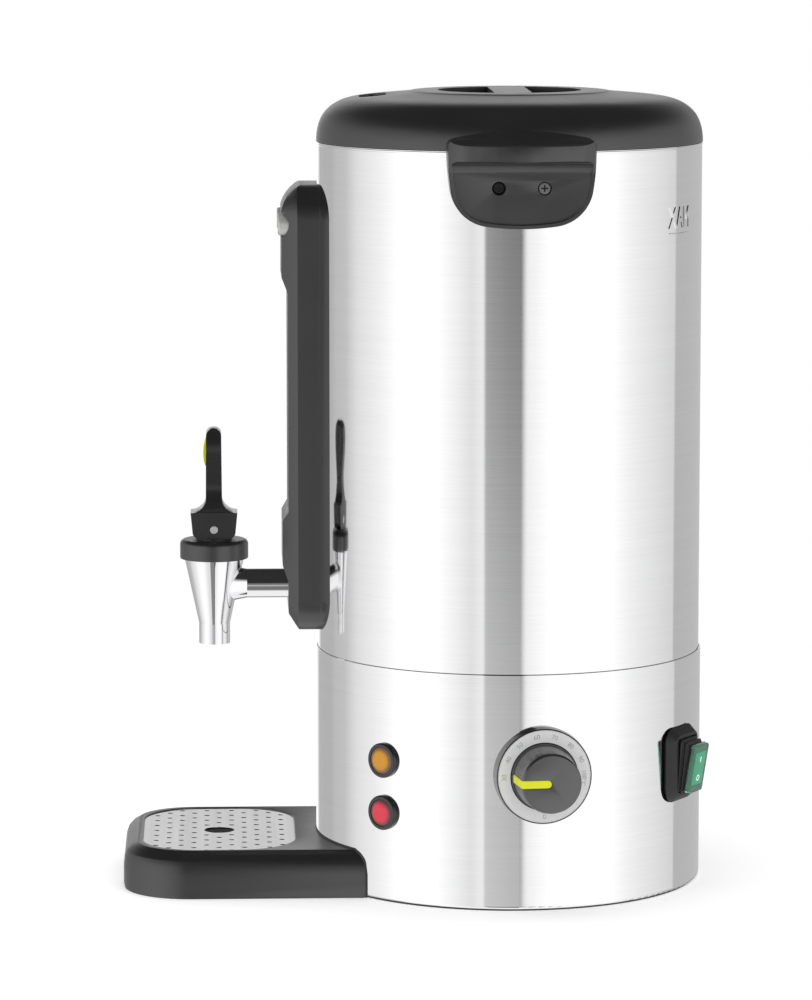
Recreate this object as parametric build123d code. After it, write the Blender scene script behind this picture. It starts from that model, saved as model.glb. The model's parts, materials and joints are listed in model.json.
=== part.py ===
from build123d import *
import math
import os

# Hot water urn, in millimetres. The origin is on the body's axis, on the surface that the urn stands on.
# +Z is up, the tap points along -Y, and the two handles are at +X and -X.

os.makedirs("parts", exist_ok=True)

# ------------------------------------------------------------------ clearances
RUN_GAP = 0.3              # between bodies that move past each other
SHAFT_GAP = 0.05           # radial, shaft in its bush
SLIP_GAP = 0.4             # a fixed piece through its hole, each side
OVER = 1.0                 # how far a cutter or a joined solid runs past a face
PIERCE = 12.0              # how far a cutter runs either way through a thin wall
HAIR = 0.01                # keeps two faces out of one plane
FAR = 400.0                # longer than anything that it cuts

# ------------------------------------------------------------------ tank
TANK_RADIUS = 113.9
TANK_WALL = 1.0
TANK_FLOOR_TOP = 149.2
TANK_FLOOR_THICKNESS = 1.2
TANK_SKIRT_FOOT = 126.0
TANK_TOP = 439.2
TANK_BEAD_PROUD = 0.2
TANK_BEAD_HEIGHT = 2.0
TANK_BEAD_ROUND = 0.9
TANK_INNER = TANK_RADIUS - TANK_WALL
TANK_FLOOR_UNDER = TANK_FLOOR_TOP - TANK_FLOOR_THICKNESS

# ------------------------------------------------------------------ base
BASE_FIT = 0.3
BASE_WALL = 0.8
BASE_TOP = 138.7
BASE_CURL = 1.8
BASE_LIP_ROUND = 0.48
BASE_INNER = TANK_RADIUS + BASE_FIT
BASE_RADIUS = BASE_INNER + BASE_WALL
BASE_FLANGE_INNER = BASE_INNER - 9.2
FOOT_THICKNESS = 1.0
FOOT_WIDTH = 11.0
FOOT_INSET = 2.4
BASE_SHEET_TOP = FOOT_THICKNESS + BASE_WALL
PAN_THICKNESS = 1.0
PAN_RISE = 7.0
PAN_RISE_RADIUS = BASE_INNER - 15.2
PAN_SLOPE = 4.0
PAN_VENT_COUNT = 18
PAN_VENT_LENGTH = 26.0
PAN_VENT_WIDTH = 3.2
PAN_VENT_RADIUS = 66.0
PAN_TOP = BASE_SHEET_TOP + PAN_THICKNESS + PAN_RISE
PAN_UNDER = PAN_TOP - PAN_THICKNESS
SUPPORT_INNER = BASE_INNER - 10.2
SUPPORT_THICKNESS = 1.5
SUPPORT_SKIRT = 13.0
SHIELD_THICKNESS = 0.8
SHIELD_DEPTH = 9.0
SHIELD_SLOPE = 5.0
SHIELD_TURN = 1.0          # from the support ring's inside to the foot of the shield's slope
SHIELD_LEAN = 0.5
SHIELD_HOLE_GAP = 1.0
SHIELD_EDGE = 0.5          # between the shield's rim and the tank's skirt
TIE_COUNT = 3
TIE_CIRCLE = 86.0
TIE_FIRST_AZIMUTH = 110.0
TIE_ROD_RADIUS = 2.5
TIE_HEAD_RADIUS = 5.0
TIE_HEAD_HEIGHT = 3.0
TIE_BOSS_RADIUS = 6.0
TIE_BOSS_LENGTH = 12.0
TIE_THREAD = 10.0

# ------------------------------------------------------------------ heater
HEATER_RADIUS = 72.0
HEATER_THICKNESS = 6.0
ELEMENT_RING = 54.0
ELEMENT_TUBE = 4.0
ELEMENT_TAIL = 14.0
ELEMENT_ARC = 320.0
CUTOUT_RADIUS = 13.0
CUTOUT_HEIGHT = 8.0
HEATER_UNDER = TANK_FLOOR_UNDER - HEATER_THICKNESS

# ------------------------------------------------------------------ lid
LID_RADIUS = TANK_RADIUS + 0.3
LID_FOOT = TANK_TOP + RUN_GAP
LID_HEIGHT = 30.0
LID_TOP = LID_FOOT + LID_HEIGHT
LID_WALL = 2.6
LID_RIM_HEIGHT = 7.5
GRIP_RADIUS = 42.3
GRIP_BAR_WIDTH = 22.0
GRIP_BAR_DEPTH = 8.0
GRIP_BAR_ROOT = 0.5        # how far the bar runs into the cup's wall
GRIP_DEPTH = 24.0
GRIP_CUP_WALL = 2.5
GRIP_CUP_ROUND = 8.0
VENT_Y = -81.0
VENT_LENGTH = 34.0
VENT_WIDTH = 16.0
VENT_WALL = 1.6
LINER_THICKNESS = 0.8
LINER_FLOOR = TANK_TOP - 12.7
LINER_RADIUS = TANK_INNER - 2.9
LINER_LIP = 1.3
LINER_LIP_Z = LID_FOOT + 1.5
SEAL_HEIGHT = 7.0
SEAL_FOOT_Z = TANK_TOP - 9.7
SEAL_ROOT = 1.0
LID_SCREW_COUNT = 4
LID_SCREW_CIRCLE = 82.0
LID_BOSS_RADIUS = 4.5
LID_SCREW_RADIUS = 1.75
LID_SCREW_HEAD_RADIUS = 3.4
LID_SCREW_HEAD_HEIGHT = 2.2
LID_SCREW_LENGTH = 13.0
LID_SCREW_GAP = 0.2

# ------------------------------------------------------------------ handles
HANDLE_WIDTH = 85.0
HANDLE_REACH = TANK_RADIUS + 26.1 # front of the shelf from the body's axis
HANDLE_CORNER = 16.0
HANDLE_ROOT_X = TANK_RADIUS - 20.0   # where the uncut handle starts, inside the tank
HANDLE_SHOULDER = TANK_RADIUS + 17.1 # where the front arc meets the shelf's sides
HANDLE_CREST_Z = TANK_TOP + 12.1
HANDLE_CREST_X = TANK_RADIUS + 4.5
HANDLE_LID_GAP = 1.3
HANDLE_END_DROP = 5.3
HANDLE_FRONT_Z = HANDLE_CREST_Z - 7.8
HANDLE_BAND_Z = HANDLE_CREST_Z - 16.4
HANDLE_FOOT_Z = HANDLE_CREST_Z - 55.5
HANDLE_COVE = 7.0          # height of the hollow under the band
HANDLE_COVE_MID = (4.5, 2.0)   # a point on it, out from the face's top and down from the band
HANDLE_BEAD_GAP = 1.0
HANDLE_DISH = 2.2
HANDLE_FOOT_BOW = 5.0
HANDLE_FOOT_CORNER = 24.0
HANDLE_TAPER = 5.0         # how much further in each side is at the foot
HANDLE_TAPER_MID = 1.3     # and halfway down
HANDLE_TOP_CORNER = 5.0
HANDLE_RIM = 2.0
HANDLE_POCKET = 2.0
HANDLE_FACE_TOP_X = TANK_RADIUS + 11.1
HANDLE_FACE_FOOT_X = TANK_RADIUS + 5.6
HANDLE_SCREW_Y = 13.0
HANDLE_SCREW_Z = HANDLE_CREST_Z - 32.3
HANDLE_SCREW_RADIUS = 2.0
HANDLE_SCREW_HEAD_RADIUS = 3.6
HANDLE_SCREW_HEAD_HEIGHT = 2.0
HANDLE_SCREW_HEAD_ROUND = 0.9
HANDLE_SCREW_GAP = 0.2
CROSS_LENGTH = 4.0
CROSS_WIDTH = 0.9
CROSS_DEPTH = 1.1
HANDLE_SCREW_HOLE_RADIUS = 4.0
HANDLE_SCREW_SEATS = {-1: TANK_RADIUS + 1.9, 1: TANK_RADIUS + 4.5}   # x of the head's underside, at -Y and at +Y
BACKING_WIDTH = 44.0
BACKING_HEIGHT = 16.0
BACKING_THICKNESS = 1.5
NUT_ACROSS = 7.0
NUT_HEIGHT = 4.5
NUT_DOME_RADIUS = 2.94
NUT_DOME_HEIGHT = 2.0

# ------------------------------------------------------------------ tap
TAP_Y = -TANK_RADIUS - 61.6
TAP_OUTLET_Z = 140.5
TAP_OUTLET_RADIUS = 9.3
TAP_SPOUT_STRAIGHT = 12.0
TAP_BORE_RADIUS = 6.6
TAP_TOP_Z = 191.5
TAP_TOP_RADIUS = 17.8
TAP_WALL = 2.5
TAP_SEAT_Z = 168.0
TAP_SEAT_LIP = 1.2
TAP_SEAT_WALL = 1.2
TAP_THREAD_DEPTH = 6.0
TAP_THREAD_RADIUS = 15.6
ARM_Z = 176.2
ARM_RADIUS = 8.75
ARM_BORE_RADIUS = 4.6
SHANK_RADIUS = 7.0
SHANK_END_Y = -TANK_INNER + 13.9
ARM_COLLAR_RADIUS = 12.6
ARM_COLLAR_LENGTH = 5.0
ARM_COLLAR_FOOT_Z = 160.0
BONNET_RADIUS = 20.3
BONNET_HEIGHT = 11.5
BONNET_EDGE = 3.0
BONNET_FOOT_EDGE = 0.6
BONNET_TOP_WALL = 3.5
BONNET_THREAD_SHORT = 0.5  # how far the thread stops above the chamber's step
BONNET_SPIGOT_BORE = 12.0
BONNET_NECK_RADIUS = 10.5
BONNET_NECK_HEIGHT = 0.8
STEM_RADIUS = 2.5
STEM_EYE_RADIUS = 5.0
STEM_EYE_THICKNESS = 6.0
CUP_RADIUS = 8.6
CUP_HEIGHT = 5.0
CUP_EDGE = 1.0
CUP_SOCKET = 3.5           # how deep the stem sits in the cup
STEM_FLANGE_RADIUS = 7.6
STEM_FLANGE_HEIGHT = 1.5
SPRING_COIL_RADIUS = 6.0
SPRING_WIRE_RADIUS = 0.7
SPRING_TURNS = 5
PIN_Z = 209.4
PIN_RADIUS = 2.4
PIN_PROUD = 0.2            # from the lever's side
PIN_EDGE = 0.4
LEVER_BASE_WIDTH = 27.8    # along Y, at the base block's shoulders
LEVER_BASE_FOOT_WIDTH = 24.8
LEVER_BASE_FOOT_Z = BONNET_NECK_HEIGHT + BONNET_HEIGHT + TAP_TOP_Z + RUN_GAP
LEVER_SHOULDER_Z = 219.6
LEVER_FOOT_ROUND = 4.0
LEVER_COVE_DEPTH = (0.24, 0.34)   # the cove's middle, as shares of its width and of its rise
LEVER_TAPER = 0.94         # the stem's thickness at its top against its thickness above the cove
LEVER_STEM_THICKNESS = 9.6
LEVER_FILLET_RISE = 8.5
LEVER_TOP_Z = 269.8
LEVER_TOP_ROUND = 4.0
LEVER_BASE_DEPTH = 20.0    # along X
LEVER_WAIST = 15.0
LEVER_PADDLE = 24.0
LEVER_PADDLE_Z = 254.0
LEVER_WAIST_RISE = 3.0     # above the coves
LEVER_CROWN = 0.5          # the front view's top above the side view's, which trims it
ACCENT_LENGTH = 17.0
ACCENT_WIDTH = 12.0
ACCENT_PROUD = 1.4
ACCENT_SUNK = 1.5
ACCENT_Z = 255.0
LEVER_TILT_MAX = 32.0      # degrees

# ------------------------------------------------------------------ level gauge
RAIL_WIDTH = 76.0
RAIL_FOOT_Z = 151.0
RAIL_TOP_Z = 415.0
RAIL_CORNER = 20.0
RAIL_SEAM_Y = -TANK_RADIUS + 0.9
RAIL_CREASE_Y = -TANK_RADIUS - 12.1
RAIL_FRONT_TOP_Y = -TANK_RADIUS - 21.3
RAIL_FRONT_MID_Y = -TANK_RADIUS - 17.7
RAIL_FRONT_LOW_Y = -TANK_RADIUS - 21.1
RAIL_TOP_BLOCK_Z = 361.0   # foot of the top block
RAIL_MID_TOP_Z = 352.0
RAIL_MID_FOOT_Z = 222.6
RAIL_LOW_BLOCK_TOP_Z = 217.3
RAIL_LOW_BLOCK_FOOT_Z = 190.5
RAIL_LOW_FACE_TOP_Z = 181.0
RAIL_LOW_FACE_FOOT_Z = 162.3
RAIL_TOP_SHOULDER_Z = 400.5
RAIL_WALL = 2.5
RAIL_FLOOR_THICKNESS = 2.2
RAIL_TANK_GAP = 0.4
RAIL_ROOT_Y = -TANK_RADIUS + 23.9 # where the uncut cover starts, inside the tank
RAIL_WRAP = 25.0           # how far the housing reaches back round the tank
RAIL_TOP_BULGE = 0.9
RAIL_TOP_EDGE = 2.0        # behind the crease, where the top's round ends
RAIL_FOOT_EDGE = 1.2
WINDOW_FOOT_Z = 222.0
WINDOW_TOP_Z = 372.0
WINDOW_WIDTH = 15.0
GLASS_Y = -TANK_RADIUS - 9.3
GLASS_RADIUS = 4.5
GLASS_WALL = 1.3
GLASS_FOOT_Z = 194.0
GLASS_TOP_Z = 384.0
MANIFOLD_RADIUS = 12.0
MANIFOLD_REAR_Y = -TANK_RADIUS - 3.3
MANIFOLD_FRONT_Y = -TANK_RADIUS - 14.1
GAUGE_BOSS_RADIUS = 6.2
MANIFOLD_BOSS_TOP_Z = 202.0
TOP_FITTING_Z = 392.2
RAIL_SCREW_X = 24.7
RAIL_SCREW_Z = 392.2
RAIL_SCREW_HEAD_RADIUS = 6.5
RAIL_SCREW_PROUD = 2.0     # of the rail's front
RAIL_SCREW_EDGE = 1.2
RAIL_SCREW_RADIUS = 2.0
RAIL_SCREW_SOCKET = 4.0    # across the flats of the head's socket
RAIL_SCREW_SOCKET_DEPTH = 2.5
RAIL_RECESS_RADIUS = 8.3
RAIL_RECESS_DEPTH = 5.2
RAIL_RECESS_WALL = 1.8
RAIL_BOSS_RADIUS = 4.5
RAIL_BOSS_LENGTH = 11.0    # in front of the housing's floor
TOP_FITTING_FOOT_Z = 376.0
TOP_SPIGOT_RADIUS = 4.0
TOP_SPIGOT_BORE = 2.5
TOP_SPIGOT_INSIDE = 6.0
GROMMET_RADIUS = 6.5
GROMMET_FLANGE = 8.5
GROMMET_FLANGE_THICKNESS = 2.4
GROMMET_INSIDE = 3.0
STRIP_WIDTH = 19.0
STRIP_THICKNESS = 0.8
STRIP_BELOW = 8.0          # below the window
STRIP_ABOVE = 3.0
SHANK_SEAL_RADIUS = 11.0
SHANK_NUT_ACROSS = 22.0
SHANK_NUT_HEIGHT = 6.0
SHANK_WASHER_THICKNESS = 3.0

# ------------------------------------------------------------------ drip tray
TRAY_HALF_WIDTH = 75.0
TRAY_FRONT_Y = -BASE_RADIUS - 115.0
TRAY_CORNER = 40.0
TRAY_REAR_Y = -20.0        # where the uncut tray ends, under the body
TRAY_TOP_Z = 27.5
# (z, inset) up the rounded side
TRAY_SIDE = ((0, 0.6), (3, 0.0), (14, 0.1), (19, 0.7), (22.5, 2.0), (25.3, 4.6), (TRAY_TOP_Z, 8.4))
TRAY_WALL = 2.5
GRID_WIDTH = 129.0         # along X
GRID_LENGTH = 90.0         # along Y
GRID_CORNER = 34.0
GRID_CENTRE_Y = TRAY_FRONT_Y + 56.7
GRID_TOP_Z = 26.4
GRID_THICKNESS = 1.2
GRID_HOLE_RADIUS = 1.7
GRID_PITCH = 14.95
GRID_DRAIN_RADIUS = 9.1
GRID_EDGE = 3.5            # from the rim to the field of the holes' centres
GRID_FIELD_CORNER = 25.0
GRID_LEDGE = 4.0
BASIN_FLOOR_Z = 4.5
BASIN_FLOOR_THICKNESS = 2.5
TRAY_TAIL_THICKNESS = 4.2

# ------------------------------------------------------------------ controls on the base
DIAL_AZIMUTH = 6.7
DIAL_Z = 80.3
DIAL_BEZEL_RADIUS = 28.4
DIAL_BEZEL_FRONT_RADIUS = 27.8
DIAL_BEZEL_PROUD = 6.2
DIAL_BEZEL_ROOT = 5.0      # how far the uncut bezel runs in behind the shell's outside
DIAL_BEZEL_EDGE = 0.5
DIAL_RING_OUTER = 27.1
DIAL_RING_INNER = 19.9
DIAL_RING_THICKNESS = 1.0
DIAL_RING_SUNK = 0.2
DIAL_WELL = 2.4
KNOB_SKIRT_RADIUS = 19.4
KNOB_FACE_RADIUS = 16.4
KNOB_FACE_PROUD = 30.0
KNOB_SKIRT_HEIGHT = 3.0
KNOB_WALL = 2.2
KNOB_BOSS_RADIUS = 6.0
KNOB_BOSS_GAP = 1.8        # above the bush's nut
KNOB_EDGE = 1.0
KNOB_SHOULDER = 0.8
POINTER_WIDTH = 4.4
POINTER_INNER = 2.4        # from the axis to the middle of the round inner end
POINTER_PROUD = 0.35
POINTER_DEPTH = 1.0
SHAFT_RADIUS = 3.0
SHAFT_IN_CASE = 8.0        # how far the shaft runs into the thermostat's case
BUSH_RADIUS = 5.0
THERMOSTAT_SIZE = 38.0
THERMOSTAT_DEPTH = 22.0
THERMOSTAT_FRONT = 6.0     # behind the outside of the shell
THERMOSTAT_CORNER = 3.0
THERMOSTAT_TAB_PITCH = 12.0
THERMOSTAT_TAB_DROP = 12.0 # below the dial's axis
TAB_WIDTH = 6.3
TAB_THICKNESS = 0.8
TAB_LENGTH = 8.0
BUSH_NUT_ACROSS = 14.0
BUSH_NUT_HEIGHT = 2.4
BULB_RADIUS = 3.0
BULB_LENGTH = 60.0
BULB_Y = 30.0
CAPILLARY_RADIUS = 1.1
CAPILLARY_EXIT = 8.0       # above the dial's axis
CAPILLARY_DROP = 12.0      # from the bulb's axis down to the bend
CAPILLARY_RISE = 2.0
CAPILLARY_TURN_X = -42.0
CAPILLARY_BENDS = [12.0, 10.0, 4.0, 4.0]

LAMP_AZIMUTH = -42.2
LAMP_HEIGHTS = {"amber": 84.1, "red": 53.2}
LAMP_BEZEL_RADIUS = 10.25
LAMP_BEZEL_PROUD = 2.8
LAMP_BEZEL_EDGE = 1.2
LAMP_LENS_RADIUS = 8.0
LAMP_LENS_PROUD = 4.9
LAMP_LENS_CROWN = 2.6
LAMP_NECK_RADIUS = 5.6
LAMP_BODY_RADIUS = 6.6
LAMP_BODY_LENGTH = 20.0
LAMP_TAB_PITCH = 6.0
LAMP_SEAT = 1.6            # depth of the lens's seat in the bezel
LAMP_NECK_END = 2.0        # behind the shell's outside
LAMP_SOCKET = 2.3          # depth of the neck's socket in the holder
LAMP_HOLDER_GAP = 0.2

SWITCH_AZIMUTH = 57.9
SWITCH_Z = 76.9
SWITCH_FRAME_WIDTH = 35.8
SWITCH_FRAME_HEIGHT = 44.4
SWITCH_FRAME_CORNER = 8.6
SWITCH_FRAME_REAR = 0.3    # the rim's flat back clears the drum
SWITCH_FRAME_PROUD = 5.5
SWITCH_FRAME_DRAFT = 40.0  # degrees, of its sloping sides
SWITCH_FRAME_EDGE = 0.7
SWITCH_FRAME_RIM = 3.0     # how far the rim hangs over the foot
SWITCH_FRAME_ROOT = 4.0    # how far the uncut foot runs in behind the shell's outside
SWITCH_SLEEVE_WALL = 1.2
SWITCH_SLEEVE_DEPTH = 6.0
SWITCH_PIVOT_PROUD = 1.6
SWITCH_TILT = 9.5          # degrees, half of the rocking angle
BOOT_WIDTH = 22.2
BOOT_RADIUS = 15.6
BOOT_REAR = -1.0
BOOT_STEP_COUNT = 3
BOOT_STEP_GROOVE = 1.4
BOOT_STEP_SHRINK = 0.3
BOOT_STEP_NARROW = 0.8     # each side
BOOT_RIB_SHARE = 0.6       # of each step's pitch
BOOT_FRONT = 8.8
ROCKER_WIDTH = 17.2
ROCKER_HEIGHT = 29.1
ROCKER_THICKNESS = 3.2
ROCKER_DROP = 0.3          # the cap's middle below the boot's
ROCKER_CORNER = 1.6
ROCKER_EDGE = 0.7
ROCKER_PIN_RADIUS = 1.5
ROCKER_PIN_LENGTH = 0.9
SWITCH_BODY_FRONT = 3.2    # behind the outside of the shell
SWITCH_BODY_DEPTH = 24.0
SWITCH_TAB_PITCH = (12.0, 20.0)   # across and upright

# ------------------------------------------------------------------ mains inlet
GLAND_AZIMUTH = 140.0
GLAND_Z = 30.0
GLAND_RADIUS = 10.0
GLAND_PROUD = 9.0
GLAND_HEX_HEIGHT = 4.0
GLAND_CONE_FOOT = 9.4
GLAND_CONE_TOP = 6.2
GLAND_BORE_RADIUS = 4.0
GLAND_THREAD_RADIUS = 8.0
GLAND_INSIDE = 8.0
GLAND_NUT_HEIGHT = 4.0
GLAND_NUT_ACROSS = 20.0
TERMINAL_LENGTH = 42.0
TERMINAL_WIDTH = 18.0
TERMINAL_HEIGHT = 16.0
TERMINAL_Y = 62.0
TERMINAL_SCREWS = 3
TERMINAL_WELL_RADIUS = 4.2
TERMINAL_WELL_DEPTH = 6.0


# ------------------------------------------------------------------ helpers
def rod(radius, low, high):
    """Upright cylinder on the axis between two heights."""
    return Pos(0, 0, low) * Cylinder(radius, high - low, align=(Align.CENTER, Align.CENTER, Align.MIN))


def tube(outer, inner, low, high):
    """Upright tube on the axis between two heights."""
    return rod(outer, low, high) - rod(inner, low, high)


def turned(*points):
    """Solid of revolution about the axis from a closed (radius, height) outline."""
    return revolve(Plane.XZ * make_face(Polyline(*points, close=True)), Axis.Z)


def block(x_low, x_high, y_low, y_high, z_low, z_high):
    """Box between corners."""
    centre = Pos((x_low + x_high) / 2, (y_low + y_high) / 2, (z_low + z_high) / 2)
    return centre * Box(x_high - x_low, y_high - y_low, z_high - z_low)


def panel(azimuth, height, reach=BASE_RADIUS):
    """Plane tangent to the body: X to the right and Y up as seen from outside, Z outwards."""
    angle = math.radians(azimuth)
    outward = Vector(math.cos(angle), math.sin(angle), 0)
    origin = outward * reach + Vector(0, 0, height)
    return Plane(origin=origin, x_dir=(-math.sin(angle), math.cos(angle), 0), z_dir=outward)


def along_y(radius, y_low, y_high, z, x=0.0):
    """Cylinder along Y."""
    return Plane((x, y_high, z), x_dir=(1, 0, 0), z_dir=(0, -1, 0)) * rod(radius, 0, y_high - y_low)


def along_x(radius, x_low, x_high, y, z):
    """Cylinder along X."""
    return Plane((x_low, y, z), x_dir=(0, 1, 0), z_dir=(1, 0, 0)) * rod(radius, 0, x_high - x_low)


def through(radius):
    """Cutter on the axis through a thin wall at the origin."""
    return rod(radius, -PIERCE, PIERCE)


def hexagon(across, height):
    """Hexagonal prism on the axis, from 0 up, by its distance across flats."""
    return extrude(RegularPolygon(across / 2, 6, major_radius=False), height)


def drum(radius):
    """The inside of a tall cylinder about the body's axis."""
    return rod(radius, -FAR, 2 * FAR)


def rims(part, radius, height):
    """The part's circular edges of a radius whose centre is at a height."""
    return [
        edge
        for edge in part.edges().filter_by(GeomType.CIRCLE)
        if abs(edge.radius - radius) < 0.01 and abs(edge.arc_center.Z - height) < 0.01
    ]


def ring_of(shape, count, radius, first=0.0):
    """Copies of a shape about the axis, as a list."""
    return [Rot(0, 0, first + k * 360 / count) * Pos(radius, 0, 0) * shape for k in range(count)]


def spread(shapes):
    """One compound of separate solids, in a node of identical pieces."""
    return Compound([solid for shape in shapes for solid in shape.solids()])


# ------------------------------------------------------------------ base group
def base_shell():
    """Drum with a flange turned in at its foot, and the holes for the controls and the lead."""
    shell = rod(BASE_RADIUS, FOOT_THICKNESS, BASE_TOP)
    shell = fillet(rims(shell, BASE_RADIUS, FOOT_THICKNESS), BASE_CURL)
    inside = rod(BASE_INNER, BASE_SHEET_TOP, BASE_TOP + OVER)
    inside = fillet(rims(inside, BASE_INNER, BASE_SHEET_TOP), BASE_CURL - BASE_WALL)
    shell -= inside + rod(BASE_FLANGE_INNER, 0, BASE_SHEET_TOP + OVER)
    shell = fillet(rims(shell, BASE_RADIUS, BASE_TOP), BASE_LIP_ROUND)
    shell -= panel(DIAL_AZIMUTH, DIAL_Z) * through(BUSH_RADIUS + SLIP_GAP)
    for height in LAMP_HEIGHTS.values():
        shell -= panel(LAMP_AZIMUTH, height) * through(LAMP_BODY_RADIUS)
    sleeve_width, sleeve_height = sleeve_size()
    opening = extrude(Rectangle(sleeve_width + SLIP_GAP, sleeve_height + SLIP_GAP), PIERCE, both=True)
    shell -= panel(SWITCH_AZIMUTH, SWITCH_Z) * opening
    return shell - panel(GLAND_AZIMUTH, GLAND_Z) * through(GLAND_THREAD_RADIUS + SLIP_GAP)


def foot_ring():
    """Flat rubber ring under the shell's flange, with a step up to the pan's rim."""
    outer = BASE_RADIUS - FOOT_INSET
    flat = tube(outer, outer - FOOT_WIDTH, 0, FOOT_THICKNESS)
    return flat + tube(BASE_FLANGE_INNER, outer - FOOT_WIDTH, FOOT_THICKNESS, BASE_SHEET_TOP)


def tie_places():
    """(x, y) of each tie rod."""
    for k in range(TIE_COUNT):
        angle = math.radians(TIE_FIRST_AZIMUTH + k * 360 / TIE_COUNT)
        yield TIE_CIRCLE * math.cos(angle), TIE_CIRCLE * math.sin(angle)


def base_plate():
    """Pressed pan on the shell's flange, with cooling slots and the tie rods' holes."""
    rim = BASE_INNER - BASE_CURL
    low, high = BASE_SHEET_TOP, BASE_SHEET_TOP + PAN_THICKNESS
    inner = PAN_RISE_RADIUS - PAN_SLOPE
    pan = turned(
        (0, PAN_UNDER), (inner, PAN_UNDER), (PAN_RISE_RADIUS, low), (rim, low),
        (rim, high), (PAN_RISE_RADIUS + PAN_THICKNESS, high), (inner + PAN_THICKNESS, PAN_TOP), (0, PAN_TOP),
    )
    slot = extrude(SlotOverall(PAN_VENT_LENGTH, PAN_VENT_WIDTH), PAN_TOP + OVER)
    for cutter in ring_of(slot, PAN_VENT_COUNT, PAN_VENT_RADIUS):
        pan -= cutter
    for x, y in tie_places():
        pan -= Pos(x, y, 0) * rod(TIE_ROD_RADIUS + SLIP_GAP, 0, PAN_TOP + OVER)
    return pan


def tie_rods():
    """Long screws from under the pan up into the bosses on the tank's floor."""
    top = TANK_FLOOR_UNDER - TIE_BOSS_LENGTH + TIE_THREAD
    screw = rod(TIE_ROD_RADIUS, PAN_UNDER, top) + rod(TIE_HEAD_RADIUS, PAN_UNDER - TIE_HEAD_HEIGHT, PAN_UNDER)
    return spread([Pos(x, y, 0) * screw for x, y in tie_places()])


def support_ring():
    """Angle ring welded inside the base shell, which the tank's skirt stands on."""
    shelf = tube(BASE_INNER, SUPPORT_INNER, TANK_SKIRT_FOOT - SUPPORT_THICKNESS, TANK_SKIRT_FOOT)
    wall = tube(
        BASE_INNER, BASE_INNER - SUPPORT_THICKNESS, TANK_SKIRT_FOOT - SUPPORT_SKIRT, TANK_SKIRT_FOOT
    )
    return shelf + wall


def heat_shield():
    """Dished steel disc on the support ring, below the heater."""
    rim = TANK_INNER - SHIELD_EDGE
    top = TANK_SKIRT_FOOT + SHIELD_THICKNESS
    turn = SUPPORT_INNER - SHIELD_TURN
    low = TANK_SKIRT_FOOT - SHIELD_DEPTH
    shield = turned(
        (0, low), (turn - SHIELD_SLOPE, low), (turn, TANK_SKIRT_FOOT), (rim, TANK_SKIRT_FOOT),
        (rim, top), (turn - SHIELD_LEAN, top), (turn - SHIELD_SLOPE - SHIELD_LEAN, low + SHIELD_THICKNESS),
        (0, low + SHIELD_THICKNESS),
    )
    for x, y in tie_places():
        shield -= Pos(x, y, 0) * rod(TIE_ROD_RADIUS + SHIELD_HOLE_GAP, low - OVER, top + OVER)
    return shield - Pos(0, BULB_Y, 0) * rod(CAPILLARY_RADIUS + 2 * SHIELD_HOLE_GAP, low - OVER, top + OVER)


# ------------------------------------------------------------------ tank group
def tank():
    """Straight shell with a beaded rim and a skirt below the floor."""
    wall = tube(TANK_RADIUS, TANK_INNER, TANK_SKIRT_FOOT, TANK_TOP)
    bead_radius, bead_foot = TANK_RADIUS + TANK_BEAD_PROUD, TANK_TOP - TANK_BEAD_HEIGHT
    bead = tube(bead_radius, TANK_INNER, bead_foot, TANK_TOP)
    bead = fillet(rims(bead, bead_radius, TANK_TOP) + rims(bead, bead_radius, bead_foot), TANK_BEAD_ROUND)
    shell = wall + bead
    shell -= along_y(SHANK_RADIUS + SLIP_GAP, -TANK_RADIUS - PIERCE, -TANK_RADIUS + PIERCE, ARM_Z)
    shell -= along_y(GROMMET_RADIUS, -TANK_RADIUS - PIERCE, -TANK_RADIUS + PIERCE, TOP_FITTING_Z)
    for y in (-HANDLE_SCREW_Y, HANDLE_SCREW_Y):
        hole = along_x(
            HANDLE_SCREW_RADIUS + SLIP_GAP, TANK_RADIUS - PIERCE, TANK_RADIUS + PIERCE, y, HANDLE_SCREW_Z
        )
        for cutter in both_sides(hole):
            shell -= cutter
    return shell


def tank_floor():
    """Disc welded into the shell, with three threaded bosses below it."""
    floor = rod(TANK_INNER, TANK_FLOOR_UNDER, TANK_FLOOR_TOP)
    boss_foot = TANK_FLOOR_UNDER - TIE_BOSS_LENGTH
    for x, y in tie_places():
        floor += Pos(x, y, 0) * rod(TIE_BOSS_RADIUS, boss_foot, TANK_FLOOR_UNDER)
        floor -= Pos(x, y, 0) * rod(TIE_ROD_RADIUS, boss_foot - OVER, boss_foot + TIE_THREAD)
    return floor


def heater_plate():
    """Aluminium disc under the tank's floor, with the element's groove."""
    plate = rod(HEATER_RADIUS, HEATER_UNDER, TANK_FLOOR_UNDER)
    return plate - Pos(0, 0, HEATER_UNDER) * Torus(ELEMENT_RING, ELEMENT_TUBE)


def heating_element():
    """Ring of tube set half into the plate, with its two tails turned down."""
    section = Plane.XZ * Pos(ELEMENT_RING, 0) * Circle(ELEMENT_TUBE)
    half = ELEMENT_ARC / 2
    ring = Rot(0, 0, 90 - half) * revolve(section, Axis.Z, revolution_arc=ELEMENT_ARC)
    element = Pos(0, 0, HEATER_UNDER) * ring
    tail = rod(ELEMENT_TUBE, HEATER_UNDER - ELEMENT_TAIL, HEATER_UNDER)
    tail += Pos(0, 0, HEATER_UNDER) * Sphere(ELEMENT_TUBE)
    for turn in (90 - half, 90 + half):
        element += Rot(0, 0, turn) * Pos(ELEMENT_RING, 0, 0) * tail
    return element


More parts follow.
